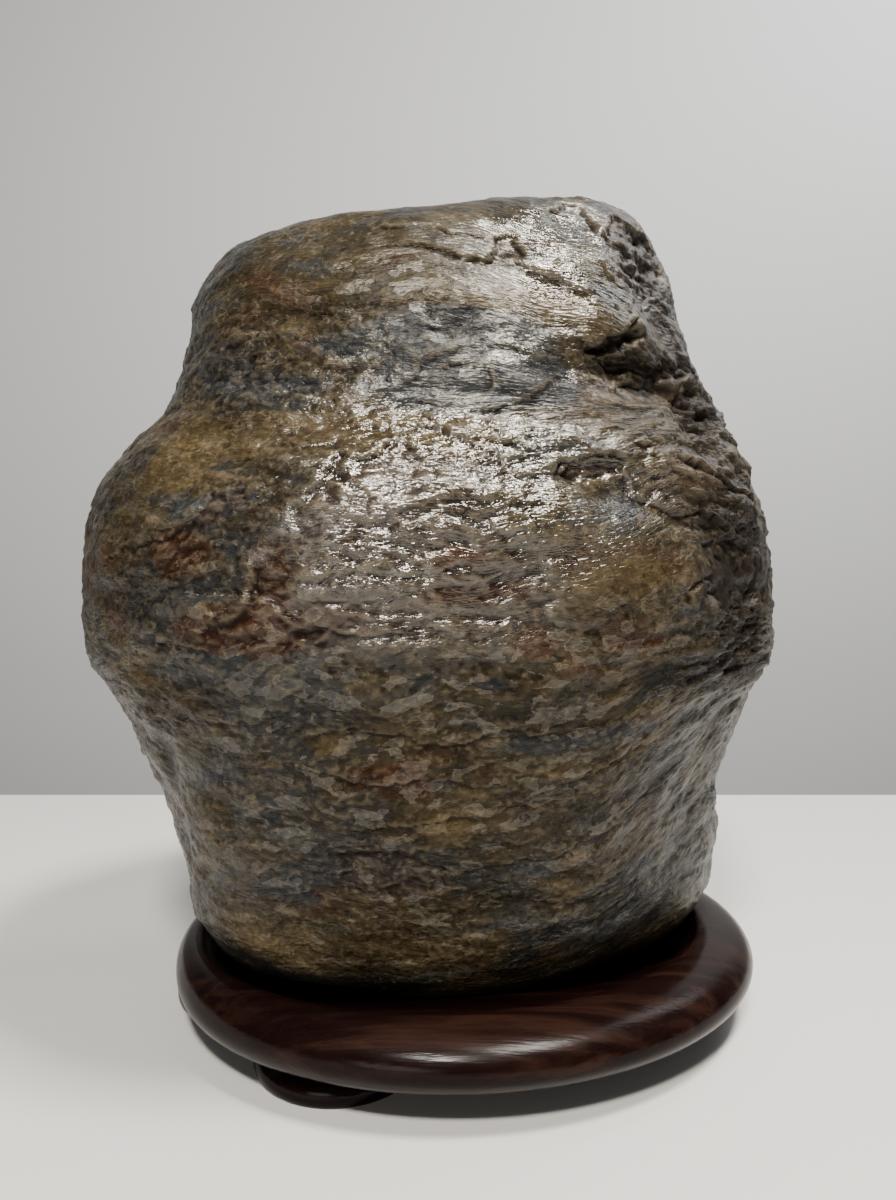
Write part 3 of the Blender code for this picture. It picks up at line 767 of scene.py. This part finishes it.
# ---------------------------------------------------------------- the stand
def tray_ovals():
    """Centre, and shift, half length, half width and height of each oval from underside to seat."""
    low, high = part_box("stand_tray")
    centre = (low + high) / 2
    reach_x = (high.x - low.x) / 2
    reach_y = (high.y - low.y) / 2
    cosine = math.cos(TRAY_TURN) ** 2
    sine = math.sin(TRAY_TURN) ** 2
    half_length = math.sqrt((reach_x**2 * cosine - reach_y**2 * sine) / (cosine - sine))
    half_width = math.sqrt((reach_y**2 * cosine - reach_x**2 * sine) / (cosine - sine))
    half = (high.z - low.z) / 2
    lip_length = SEAT_HALF_LENGTH + LIP_ROUNDING
    lip_width = SEAT_HALF_WIDTH + LIP_ROUNDING
    ovals = []

    def between(share, height):
        shift = Vector(SEAT_SHIFT) * share
        length = half_length + (lip_length - half_length) * share
        width = half_width + (lip_width - half_width) * share
        ovals.append((shift, length, width, height))

    def seat(inset, height):
        ovals.append((Vector(SEAT_SHIFT), SEAT_HALF_LENGTH - inset, SEAT_HALF_WIDTH - inset, height))

    for degrees in range(-90, 91, 6):
        angle = math.radians(degrees)
        between(CROWN_SHARE * (1 - math.cos(angle)), centre.z + half * math.sin(angle))
    lip = high.z - LIP_DROP
    for degrees in (80, 60, 40, 20, 0):
        angle = math.radians(degrees)
        seat(LIP_ROUNDING * (math.cos(angle) - 1), lip - LIP_ROUNDING * (1 - math.sin(angle)))
    for length, width, _, height in DISH:
        ovals.append((Vector(SEAT_SHIFT), length, width, height))
    return centre, ovals


def square_dish(piece, centre):
    """Makes the dish's ovals squarer at the same length and width."""
    middle = Vector((centre.x + SEAT_SHIFT[0], centre.y + SEAT_SHIFT[1]))
    for vertex in piece.data.vertices:
        for length, width, squareness, height in DISH:
            if abs(vertex.co.z - height) > OVAL_HEIGHT_MARGIN:
                continue
            along = (vertex.co.x - middle.x) / length
            across = (vertex.co.y - middle.y) / width
            if abs(math.hypot(along, across) - 1) > OVAL_SIZE_MARGIN:
                continue
            vertex.co.x = middle.x + length * math.copysign(abs(along) ** (2 / squareness), along)
            vertex.co.y = middle.y + width * math.copysign(abs(across) ** (2 / squareness), across)


def raise_ovals(name, centre, ovals, sides):
    """A closed shape drawn up from a filled oval through the ovals that follow it."""
    shift, length, width, height = ovals[0]
    middle = (centre.x + shift[0], centre.y + shift[1], height)
    deselect_all()
    bpy.ops.mesh.primitive_circle_add(vertices=sides, radius=length, fill_type="NGON", location=middle)
    piece = bpy.context.active_object
    piece.name = name
    piece.data.name = name
    bpy.ops.object.transform_apply(location=True, rotation=True, scale=True)
    bpy.ops.object.mode_set(mode="EDIT")
    bpy.ops.mesh.select_all(action="SELECT")
    bpy.ops.transform.resize(value=(1, width / length, 1), center_override=middle)
    for upper in ovals[1:]:
        step = (upper[0][0] - shift[0], upper[0][1] - shift[1], upper[3] - height)
        bpy.ops.mesh.extrude_region_move(TRANSFORM_OT_translate={"value": step})
        middle = (centre.x + upper[0][0], centre.y + upper[0][1], upper[3])
        grow = (upper[1] / length, upper[2] / width, 1)
        bpy.ops.transform.resize(value=grow, center_override=middle)
        shift, length, width, height = upper
    bpy.ops.mesh.select_all(action="SELECT")
    bpy.ops.mesh.normals_make_consistent(inside=False)
    bpy.ops.object.mode_set(mode="OBJECT")
    bpy.ops.object.shade_smooth_by_angle(angle=CREASE_ANGLE)
    return piece


def turn_in_plan(piece, centre, angle):
    """Turns a piece's mesh about an upright line, and leaves its object unturned at the origin."""
    only(piece)
    bpy.context.scene.cursor.location = (centre.x, centre.y, 0)
    bpy.ops.object.origin_set(type="ORIGIN_CURSOR")
    piece.rotation_euler = (0, 0, angle)
    bpy.ops.object.transform_apply(location=True, rotation=True, scale=True)
    bpy.context.scene.cursor.location = (0, 0, 0)


def foot_ovals(node):
    """Centre and rings of a bun foot, from its sole to its neck."""
    low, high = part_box(node)
    centre = (low + high) / 2
    radius = max(high.x - low.x, high.y - low.y) / 2
    rings = []
    for degrees in range(-90, 91, 10):
        angle = math.radians(degrees)
        inset = FOOT_NECK_INSET if degrees > 0 else FOOT_SOLE_INSET
        reach = high.z - FOOT_WIDEST if degrees > 0 else FOOT_WIDEST
        ring = radius - inset * (1 - math.cos(angle))
        rings.append(((0, 0), ring, ring, FOOT_WIDEST + reach * math.sin(angle)))
    return centre, rings


# ---------------------------------------------------------------- materials
class Nodes:
    """A short way to lay out a material's nodes."""

    def __init__(self, name):
        self.material = bpy.data.materials.new(name)
        self.material.use_nodes = True
        self.tree = self.material.node_tree
        self.inputs = self.tree.nodes["Principled BSDF"].inputs

    def set(self, socket, value):
        """Links the value where it is another node's output, and otherwise writes it."""
        if isinstance(value, bpy.types.NodeSocket):
            self.tree.links.new(value, socket)
        elif socket.type == "RGBA":
            socket.default_value = (*value, 1)
        else:
            socket.default_value = value

    def finish(self, name, value):
        self.set(self.inputs[name], value)

    def add(self, kind, inputs=(), **options):
        """A new node of this kind, with its options and then its inputs set."""
        node = self.tree.nodes.new("ShaderNode" + kind)
        for option, value in options.items():
            setattr(node, option, value)
        for socket, value in dict(inputs).items():
            self.set(node.inputs[socket], value)
        return node

    def attribute(self, name, output="Fac"):
        return self.add("Attribute", attribute_name=name).outputs[output]

    def place(self):
        return self.add("TexCoord").outputs["Object"]

    def stretched(self, vector, scale, rotation=(0, 0, 0)):
        inputs = {"Vector": vector, "Scale": scale, "Rotation": rotation}
        return self.add("Mapping", inputs).outputs["Vector"]

    def noise(self, vector, scale=1.0, detail=4.0, roughness=0.55, distortion=0.0):
        inputs = {"Vector": vector, "Scale": scale, "Detail": detail, "Roughness": roughness,
                  "Distortion": distortion}
        return self.add("TexNoise", inputs).outputs["Fac"]

    def shaken(self, vector, scale, amount):
        """The vector moved about by noise, so that what is drawn on it comes out ragged."""
        noise = self.add("TexNoise", {"Vector": vector, "Scale": scale, "Detail": 3})
        inputs = {0: noise.outputs["Color"], 1: (amount, amount, amount), 2: vector}
        return self.add("VectorMath", inputs, operation="MULTIPLY_ADD").outputs["Vector"]

    def flakes(self, vector):
        """Two chance values for each cell of the vector."""
        cells = self.add("TexVoronoi", {"Vector": vector, "Scale": 1.0})
        parts = self.add("SeparateColor", {"Color": cells.outputs["Color"]})
        return parts.outputs["Red"], parts.outputs["Green"]

    def flake_edges(self, vector):
        """The distance to the nearest edge between the vector's cells."""
        inputs = {"Vector": vector, "Scale": 1.0}
        return self.add("TexVoronoi", inputs, feature="DISTANCE_TO_EDGE").outputs["Distance"]

    def work(self, kind, first, second, clamp=False):
        return self.add("Math", {0: first, 1: second}, operation=kind, use_clamp=clamp).outputs[0]

    def times(self, first, second):
        return self.work("MULTIPLY", first, second)

    def plus(self, first, second, clamp=False):
        return self.work("ADD", first, second, clamp)

    def minus(self, first, second, clamp=False):
        return self.work("SUBTRACT", first, second, clamp)

    def larger(self, first, second):
        return self.work("MAXIMUM", first, second)

    def weighted(self, *parts):
        """The sum of all values, each times its weight."""
        total = self.times(*parts[0])
        for value, weight in parts[1:]:
            total = self.plus(total, self.times(value, weight))
        return total

    def spread(self, value, low, high, to_low=0.0, to_high=1.0):
        """The value's range from low to high, drawn smoothly to a new range."""
        inputs = {"Value": value, "From Min": low, "From Max": high, "To Min": to_low, "To Max": to_high}
        return self.add("MapRange", inputs, interpolation_type="SMOOTHSTEP").outputs["Result"]

    def blend(self, share, first, second, kind="MIX"):
        """The first colour with this share of the second in it."""
        inputs = {"Factor": share, 6: first, 7: second}
        node = self.add("Mix", inputs, data_type="RGBA", blend_type=kind, clamp_factor=True)
        return node.outputs[2]

    def ramp(self, value, stops):
        node = self.add("ValToRGB", {"Fac": value})
        ramp = node.color_ramp
        while len(ramp.elements) < len(stops):
            ramp.elements.new(0.5)
        for element, (place, colour) in zip(ramp.elements, stops):
            element.position = place
            element.color = (*colour, 1.0)
        return node.outputs["Color"]

    def bump(self, height, distance, strength):
        inputs = {"Height": height, "Distance": distance, "Strength": strength}
        return self.add("Bump", inputs).outputs["Normal"]


# Colours of the stone. Each ramp's stops run from low to high noise.
STONE_VALUES = ((0.38, 0.06), (0.46, 0.17), (0.54, 0.29), (0.64, 0.66))
STONE_HUES = (
    (0.40, (0.070, 0.076, 0.080)),
    (0.46, (0.072, 0.066, 0.054)),
    (0.51, (0.078, 0.060, 0.034)),
    (0.56, (0.110, 0.084, 0.042)),
    (0.63, (0.096, 0.052, 0.026)),
)
BARE_BROWNS = ((0.38, (0.035, 0.022, 0.017)), (0.52, (0.085, 0.053, 0.042)), (0.68, (0.150, 0.108, 0.092)))
SPECK_COLOUR = (0.13, 0.105, 0.070)
# Lighter tone of the ridges: partly wear, partly painted highlight.
RIDGE_WEAR_AND_HIGHLIGHT_COLOUR = (0.14, 0.110, 0.07)
CRUST_COLOUR = (0.0075, 0.0055, 0.0042)
# Painted highlight along the rims of the raised flakes.
RIM_HIGHLIGHT_COLOUR = (0.14, 0.112, 0.070)
# Near black of the cracks, also used for the painted shadow under the leaves' steps and the painted shade in
# the hollows.
CRACK_AND_SHADE_COLOUR = (0.003, 0.002, 0.0015)

# Finish of the stone: roughness from its least to its most, and the colour of its shine.
MATT_ROUGHNESS = (0.30, 0.44)
WAXED_ROUGHNESS = (0.14, 0.23)
CRUST_ROUGHNESS = 0.10               # added where the stone is crusty
DULL_SHINE = (0.07, 0.065, 0.055)
WAX_SHINE = (1.0, 0.96, 0.88)
STONE_SPECULAR = 0.8
STONE_IOR = 1.5
STONE_RELIEF = 1.6 * MM

# Noises of the stone that follow its bedding: waves in a metre along the beds and across them, and
# the noise's detail, roughness and distortion.
BED_NOISES = {
    "patches": (20, 40, 5, 0.58, 0.6),
    "bands": (40, 100, 6, 0.60, 0.4),
    "leaves": (40, 100, 5, 0.55, 0.4),
    "swells": (120, 250, 2, 0.50, 0.5),
    "wrinkles": (400, 1000, 2.5, 0.55, 0.5),
    "streaks": (520, 1500, 3, 0.60, 0.4),
    "ribs": (300, 1500, 2, 0.50, 0.4),
}

# Noises of the stone that run the same way in all directions: waves in a metre, and as above.
EVEN_NOISES = {
    "clouds": (44, 7, 0.64, 0.3),
    "browns": (260, 5, 0.65, 0.0),
    "pits": (640, 2, 0.55, 0.0),
    "flecks": (700, 3, 0.6, 0.0),
}
LEAVES_IN_STEP = 9.0                 # leaves of the skin that lie over one another like shingles

WOOD_COLOURS = (
    (0.32, (0.0030, 0.0011, 0.0009)), (0.50, (0.0060, 0.0022, 0.0018)), (0.66, (0.015, 0.0065, 0.0042)))
PORE_COLOUR = (0.006, 0.003, 0.0025)
WOOD_ROUGHNESS = (0.17, 0.26)
WOOD_SPECULAR = 0.09
WOOD_RELIEF = 0.16 * MM


def stone_marks(nodes):
    """The masks, noises and flakes that the stone's colour, gloss and relief are made of."""
    marks = SimpleNamespace()
    grain = nodes.attribute("grain", "Vector")
    place = nodes.place()
    for name in (*SPOTS, "bare", "hollow", "worn"):
        setattr(marks, name, nodes.attribute(name))
    for name, (along, across, *look) in BED_NOISES.items():
        vector = nodes.stretched(grain, (along, along, across))
        setattr(marks, name, nodes.noise(vector, 1.0, *look))
    for name, (waves, *look) in EVEN_NOISES.items():
        setattr(marks, name, nodes.noise(place, waves, *look))
    marks.shingle = nodes.work("FRACT", nodes.times(marks.leaves, LEAVES_IN_STEP), 0)
    plates = nodes.shaken(nodes.stretched(grain, (75, 75, 170)), scale=1.4, amount=1.1)
    scales = nodes.shaken(nodes.stretched(grain, (220, 220, 430)), scale=1.2, amount=1.0)
    marks.plate, marks.plate_hue = nodes.flakes(plates)
    marks.scale, marks.scale_hue = nodes.flakes(scales)
    marks.scale_edge = nodes.flake_edges(scales)
    return marks


def stone_cracks_and_shade(nodes, marks):
    """Dark cracks round the scales, painted shadow on the low side of each leaf's step, and painted shade in
    the bottoms of the hollows.
    """
    cracks_and_shade = nodes.spread(marks.scale_edge, 0.0, 0.04, 0.45, 0.0)
    # Painted shadow: dark on the low side of each leaf's step.
    cracks_and_shade = nodes.larger(cracks_and_shade, nodes.spread(marks.shingle, 0.0, 0.05, 0.80, 0.0))
    cracks_and_shade = nodes.times(cracks_and_shade, nodes.spread(marks.clouds, 0.42, 0.58, 1.0, 0.10))
    # Painted shade at the bottoms of the hollows.
    return nodes.larger(cracks_and_shade, nodes.times(marks.hollow, 0.75))


def stone_hue(nodes, marks, settings):
    """The stone's tints: olive and brown, with ochre, slate, bare and rusty places; low on the front and on
    the left flank the ochre is partly painted light.
    """
    family = nodes.weighted(
        (marks.patches, 0.84), (marks.plate_hue, 0.10), (marks.scale_hue, 0.06), (marks.smooth, 0.05))
    hue = nodes.ramp(family, STONE_HUES)
    chance = nodes.weighted((marks.plate_hue, 0.35), (marks.clouds, 0.9))

    def tinted(mask, tint, base, most):
        share = nodes.plus(mask, nodes.minus(chance, 0.62))
        return nodes.blend(nodes.spread(share, 0.38, 0.72, 0.0, most), base, tint)

    hue = tinted(marks.ochre_and_painted_light, settings.ochre_and_painted_light, hue, 0.85)
    hue = tinted(marks.slate, settings.slate, hue, 0.92)
    hue = nodes.blend(nodes.times(marks.bare, 0.7), hue, nodes.ramp(marks.browns, BARE_BROWNS))
    return tinted(marks.rust, settings.rust, hue, 0.92)


def stone_colour(nodes, marks, cracks_and_shade, hue):
    """The hue with its light and dark mottling, specks, ridges lightened partly as wear and partly as
    painted highlight, painted highlights on raised flakes' rims, crust, and cracks that also carry painted
    shade.
    """
    mottling = nodes.weighted(
        (marks.bands, 0.26), (marks.streaks, 0.22), (marks.clouds, 0.22), (marks.flecks, 0.22),
        (marks.plate, 0.05), (marks.scale, 0.03))
    value = nodes.ramp(mottling, [(place, (grey, grey, grey)) for place, grey in STONE_VALUES])
    colour = nodes.blend(1.0, hue, value, "MULTIPLY")
    specks = nodes.spread(marks.flecks, 0.58, 0.72)
    # Painted highlight: lighter rims on the raised flakes.
    rim_highlight = nodes.times(
        nodes.spread(marks.scale, 0.55, 0.75), nodes.spread(marks.scale_edge, 0.02, 0.07, 0.30, 0.0))
    colour = nodes.blend(nodes.times(specks, 0.30), colour, SPECK_COLOUR)
    colour = nodes.blend(nodes.times(marks.worn, 0.35), colour, RIDGE_WEAR_AND_HIGHLIGHT_COLOUR)
    colour = nodes.blend(nodes.times(marks.crust, 0.85), colour, CRUST_COLOUR)
    colour = nodes.blend(rim_highlight, colour, RIM_HIGHLIGHT_COLOUR)
    return nodes.blend(cracks_and_shade, colour, CRACK_AND_SHADE_COLOUR)


def stone_relief(nodes, marks):
    """Fine relief: wrinkles and pits, fewer where the stone is smooth or bare, with fine ribs there."""
    pitting = nodes.minus(0.18, nodes.times(marks.polish, 0.11))
    height = nodes.weighted(
        (marks.wrinkles, 0.22), (marks.swells, 0.30), (marks.pits, pitting), (marks.shingle, 0.14),
        (marks.scale, 0.14))
    even = nodes.plus(nodes.times(marks.smooth, 0.60), nodes.times(marks.bare, 0.45), clamp=True)
    height = nodes.times(height, nodes.minus(1.0, even))
    ribbed = nodes.plus(nodes.weighted((marks.smooth, 0.16), (marks.polish, 0.14)), 0.06)
    return nodes.plus(height, nodes.times(marks.ribs, ribbed))


def stone_shine(nodes, marks, cracks_and_shade):
    """How far the wax shines: most on the polished places and least in the crust and the cracks, where the
    dimmed shine is also painted shade.
    """
    shine = nodes.plus(nodes.times(marks.polish, 1.3), nodes.spread(marks.scale, 0.60, 0.90, 0.0, 0.55))
    dull = nodes.larger(nodes.times(marks.crust, 0.60), nodes.times(cracks_and_shade, 0.7))
    return nodes.minus(shine, dull, clamp=True)


def waxed_stone(settings):
    nodes = Nodes("waxed stone")
    marks = stone_marks(nodes)
    cracks_and_shade = stone_cracks_and_shade(nodes, marks)
    hue = stone_hue(nodes, marks, settings)
    matt = nodes.spread(marks.clouds, 0.35, 0.65, *MATT_ROUGHNESS)
    waxed = nodes.spread(marks.bands, 0.35, 0.65, *WAXED_ROUGHNESS)
    gloss = nodes.blend(marks.polish, matt, waxed)
    shine = stone_shine(nodes, marks, cracks_and_shade)
    nodes.finish("Base Color", stone_colour(nodes, marks, cracks_and_shade, hue))
    nodes.finish("Roughness", nodes.plus(gloss, nodes.times(marks.crust, CRUST_ROUGHNESS), clamp=True))
    nodes.finish("Normal", nodes.bump(stone_relief(nodes, marks), STONE_RELIEF, strength=1.0))
    nodes.finish("IOR", STONE_IOR)
    nodes.finish("Specular IOR Level", STONE_SPECULAR)
    nodes.finish("Specular Tint", nodes.blend(shine, DULL_SHINE, WAX_SHINE))
    return nodes.material


def dark_rosewood():
    """Oiled rosewood with a faint figure and fine pores along the tray's length."""
    nodes = Nodes("dark rosewood")
    place = nodes.place()
    along_tray = (0, 0, -TRAY_TURN)
    board = nodes.stretched(place, (14, 160, 160), along_tray)
    figure = nodes.noise(board, detail=4, roughness=0.6, distortion=0.6)
    pores = nodes.noise(nodes.stretched(place, (120, 1500, 1500), along_tray), detail=2)
    dark = nodes.times(nodes.spread(pores, 0.36, 0.46, 1.0, 0.0), 0.5)
    height = nodes.weighted((pores, 0.6), (figure, 0.6))
    nodes.finish("Base Color", nodes.blend(dark, nodes.ramp(figure, WOOD_COLOURS), PORE_COLOUR))
    nodes.finish("Roughness", nodes.spread(figure, 0.3, 0.7, *WOOD_ROUGHNESS))
    nodes.finish("Normal", nodes.bump(height, WOOD_RELIEF, strength=0.6))
    nodes.finish("Specular IOR Level", WOOD_SPECULAR)
    return nodes.material


def stand_wood():
    """The one wood of the whole stand, made when its first piece asks for it."""
    return bpy.data.materials.get("dark rosewood") or dark_rosewood()


def plain(name, colour, roughness):
    nodes = Nodes(name)
    nodes.finish("Base Color", colour)
    nodes.finish("Roughness", roughness)
    return nodes.material


# ---------------------------------------------------------------- the stage's parts
def stage_sheet(name, place, size, rotation, colour, roughness):
    """A flat sheet of the stage in one plain colour."""
    deselect_all()
    bpy.ops.mesh.primitive_plane_add(size=1, location=place, rotation=rotation)
    sheet = bpy.context.active_object
    sheet.name = f"stage_{name}"
    sheet.scale = (*size, 1)
    bpy.ops.object.transform_apply(location=True, rotation=True, scale=True)
    sheet.data.materials.append(plain(name, colour, roughness))
    return sheet


def soft_box(name, place, target, size, power, colour):
    """A rectangular lamp that faces its target."""
    data = bpy.data.lights.new(name, "AREA")
    data.color = colour
    data.shape = "RECTANGLE"
    data.size, data.size_y = size
    data.energy = power
    light = bpy.data.objects.new(name, data)
    light.location = place
    light.rotation_euler = (Vector(target) - Vector(place)).to_track_quat("-Z", "Y").to_euler()
    bpy.context.scene.collection.objects.link(light)


def light_room(tree):
    """A room that is light overhead and dim at eye level."""
    upward = tree.nodes.new("ShaderNodeSeparateXYZ")
    tree.links.new(tree.nodes.new("ShaderNodeTexCoord").outputs["Generated"], upward.inputs[0])
    ramp = tree.nodes.new("ShaderNodeValToRGB")
    tree.links.new(upward.outputs["Z"], ramp.inputs["Fac"])
    for element, (height, shade) in zip(ramp.color_ramp.elements, ROOM_SHADES):
        element.position = height
        element.color = (*shade, 1)
    tree.links.new(ramp.outputs["Color"], tree.nodes["Background"].inputs["Color"])
    tree.nodes["Background"].inputs["Strength"].default_value = ROOM_STRENGTH


def set_camera(settings):
    """The camera in front of the object, looking a little down on it."""
    data = bpy.data.cameras.new("camera")
    data.lens = settings.lens
    data.sensor_width = SENSOR_WIDTH
    data.sensor_fit = "AUTO"
    data.clip_start = 10 * MM
    camera = bpy.data.objects.new("camera", data)
    camera.location = (settings.eye_aside, -settings.eye_distance, settings.eye_height)
    camera.rotation_euler = (math.pi / 2 - settings.look_down, 0, 0)
    bpy.context.scene.collection.objects.link(camera)
    bpy.context.scene.camera = camera


# ---------------------------------------------------------------- settings a user would change
class RockSettings(bpy.types.PropertyGroup):
    levels: bpy.props.IntProperty(
        name="Divisions", description="How many times the carved faces are divided", default=3, min=1, max=4)
    triangles: bpy.props.IntProperty(
        name="Triangles", description="Most triangles that the finished rock may have",
        default=198000, min=20000, max=199000)
    ochre_and_painted_light: bpy.props.FloatVectorProperty(
        name="Ochre", description="Colour of the ochre places", subtype="COLOR", size=3,
        default=(0.160, 0.112, 0.049))
    slate: bpy.props.FloatVectorProperty(
        name="Slate", description="Colour of the grey places", subtype="COLOR", size=3,
        default=(0.062, 0.072, 0.083))
    rust: bpy.props.FloatVectorProperty(
        name="Rust", description="Colour of the rusty places", subtype="COLOR", size=3,
        default=(0.082, 0.026, 0.010))


class StandSettings(bpy.types.PropertyGroup):
    sides: bpy.props.IntProperty(
        name="Sides", description="Facets round the tray's outline", default=192, min=24, max=360)
    foot_sides: bpy.props.IntProperty(
        name="Foot sides", description="Facets round each foot", default=96, min=12, max=240)


class StageSettings(bpy.types.PropertyGroup):
    floor_back: bpy.props.FloatProperty(
        name="Floor's far edge", description="How far behind the middle the floor ends",
        default=0.226, unit="LENGTH")
    eye_distance: bpy.props.FloatProperty(
        name="Eye distance", description="From the camera to the middle of the object",
        default=0.2774, unit="LENGTH")
    eye_height: bpy.props.FloatProperty(
        name="Eye height", description="Height of the camera over the floor", default=0.140, unit="LENGTH")
    eye_aside: bpy.props.FloatProperty(
        name="Eye to the right", description="How far the camera stands to the right",
        default=0.004, unit="LENGTH")
    look_down: bpy.props.FloatProperty(
        name="Look down", description="How far the camera looks below level",
        default=math.radians(3.36), unit="ROTATION")
    lens: bpy.props.FloatProperty(
        name="Lens", description="Focal length in millimetres on a 36 mm sensor", default=27.09)
    floor_colour: bpy.props.FloatVectorProperty(
        name="Floor", description="Colour of the floor", subtype="COLOR", size=3, default=(0.58, 0.57, 0.55))
    backdrop_colour: bpy.props.FloatVectorProperty(
        name="Backdrop", description="Colour of the backdrop", subtype="COLOR", size=3,
        default=(0.52, 0.53, 0.54))



# ---------------------------------------------------------------- operators
class SCHOLARS_ROCK_OT_stone(bpy.types.Operator):
    """Carves the fine surface of the rock over its solid"""
    bl_idname = "scholars_rock.stone"
    bl_label = "Rock"

    def execute(self, context):
        settings = context.scene.rock_settings
        piece = fine_copy("rock", "rock_stone", settings.levels)
        shape_rock(piece)
        thin_out(piece, settings.triangles)
        only(piece)
        bpy.ops.object.shade_smooth()
        store_finish(piece)
        piece.data.materials.clear()
        piece.data.materials.append(waxed_stone(settings))
        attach(piece, "root")
        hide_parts("rock")
        return {"FINISHED"}


class SCHOLARS_ROCK_OT_tray(bpy.types.Operator):
    """Turns the tray of the stand with its bull nose and its recess"""
    bl_idname = "scholars_rock.tray"
    bl_label = "Stand tray"

    def execute(self, context):
        settings = context.scene.stand_settings
        centre, ovals = tray_ovals()
        piece = raise_ovals("stand_tray_turned", centre, ovals, settings.sides)
        square_dish(piece, centre)
        turn_in_plan(piece, centre, TRAY_TURN)
        piece.data.materials.append(stand_wood())
        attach(piece, "root")
        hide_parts("stand_tray")
        return {"FINISHED"}


class SCHOLARS_ROCK_OT_feet(bpy.types.Operator):
    """Turns the four bun feet of the stand"""
    bl_idname = "scholars_rock.feet"
    bl_label = "Stand feet"

    def execute(self, context):
        settings = context.scene.stand_settings
        for node in sorted(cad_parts):
            if not node.startswith("foot_"):
                continue
            centre, rings = foot_ovals(node)
            piece = raise_ovals(f"{node}_turned", centre, rings, settings.foot_sides)
            piece.data.materials.append(stand_wood())
            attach(piece, "root")
            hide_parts(node)
        return {"FINISHED"}


class SCHOLARS_ROCK_OT_stage(bpy.types.Operator):
    """Sets the floor, the backdrop, the soft lights and the camera"""
    bl_idname = "scholars_rock.stage"
    bl_label = "Stage"

    def execute(self, context):
        settings = context.scene.stage_settings
        floor_middle = (0, settings.floor_back - FLOOR_SIZE[1] / 2, 0)
        floor = stage_sheet(
            "floor", floor_middle, FLOOR_SIZE, (0, 0, 0), settings.floor_colour, FLOOR_ROUGHNESS)
        backdrop = stage_sheet(
            "backdrop", BACKDROP_PLACE, BACKDROP_SIZE, (math.pi / 2, 0, 0), settings.backdrop_colour,
            BACKDROP_ROUGHNESS)
        world = bpy.data.worlds.new("studio")
        context.scene.world = world
        world.use_nodes = True
        light_room(world.node_tree)
        for box in SOFT_BOXES:
            soft_box(*box)
        set_camera(settings)
        return {"FINISHED"}


class SCHOLARS_ROCK_PT_panel(bpy.types.Panel):
    """Lists the settings and the steps that build the rock"""
    bl_idname = "SCHOLARS_ROCK_PT_panel"
    bl_label = "Scholar's rock"
    bl_space_type = "VIEW_3D"
    bl_region_type = "UI"
    bl_category = "Rock"

    def draw(self, context):
        scene = context.scene
        for settings, steps in (
            (scene.rock_settings, ("scholars_rock.stone",)),
            (scene.stand_settings, ("scholars_rock.tray", "scholars_rock.feet")),
            (scene.stage_settings, ("scholars_rock.stage",)),
        ):
            box = self.layout.box()
            for name in settings.__annotations__:
                box.prop(settings, name)
            for step in steps:
                box.operator(step)


CLASSES = (
    RockSettings,
    StandSettings,
    StageSettings,
    SCHOLARS_ROCK_OT_stone,
    SCHOLARS_ROCK_OT_tray,
    SCHOLARS_ROCK_OT_feet,
    SCHOLARS_ROCK_OT_stage,
    SCHOLARS_ROCK_PT_panel,
)


def register():
    for made in CLASSES:
        bpy.utils.register_class(made)
    bpy.types.Scene.rock_settings = bpy.props.PointerProperty(type=RockSettings)
    bpy.types.Scene.stand_settings = bpy.props.PointerProperty(type=StandSettings)
    bpy.types.Scene.stage_settings = bpy.props.PointerProperty(type=StageSettings)


def unregister():
    del bpy.types.Scene.stage_settings
    del bpy.types.Scene.stand_settings
    del bpy.types.Scene.rock_settings
    for made in reversed(CLASSES):
        bpy.utils.unregister_class(made)


def main():
    register()
    bpy.ops.scholars_rock.stage()
    bpy.ops.scholars_rock.stone()
    bpy.ops.scholars_rock.tray()
    bpy.ops.scholars_rock.feet()


if __name__ == "__main__":
    main()
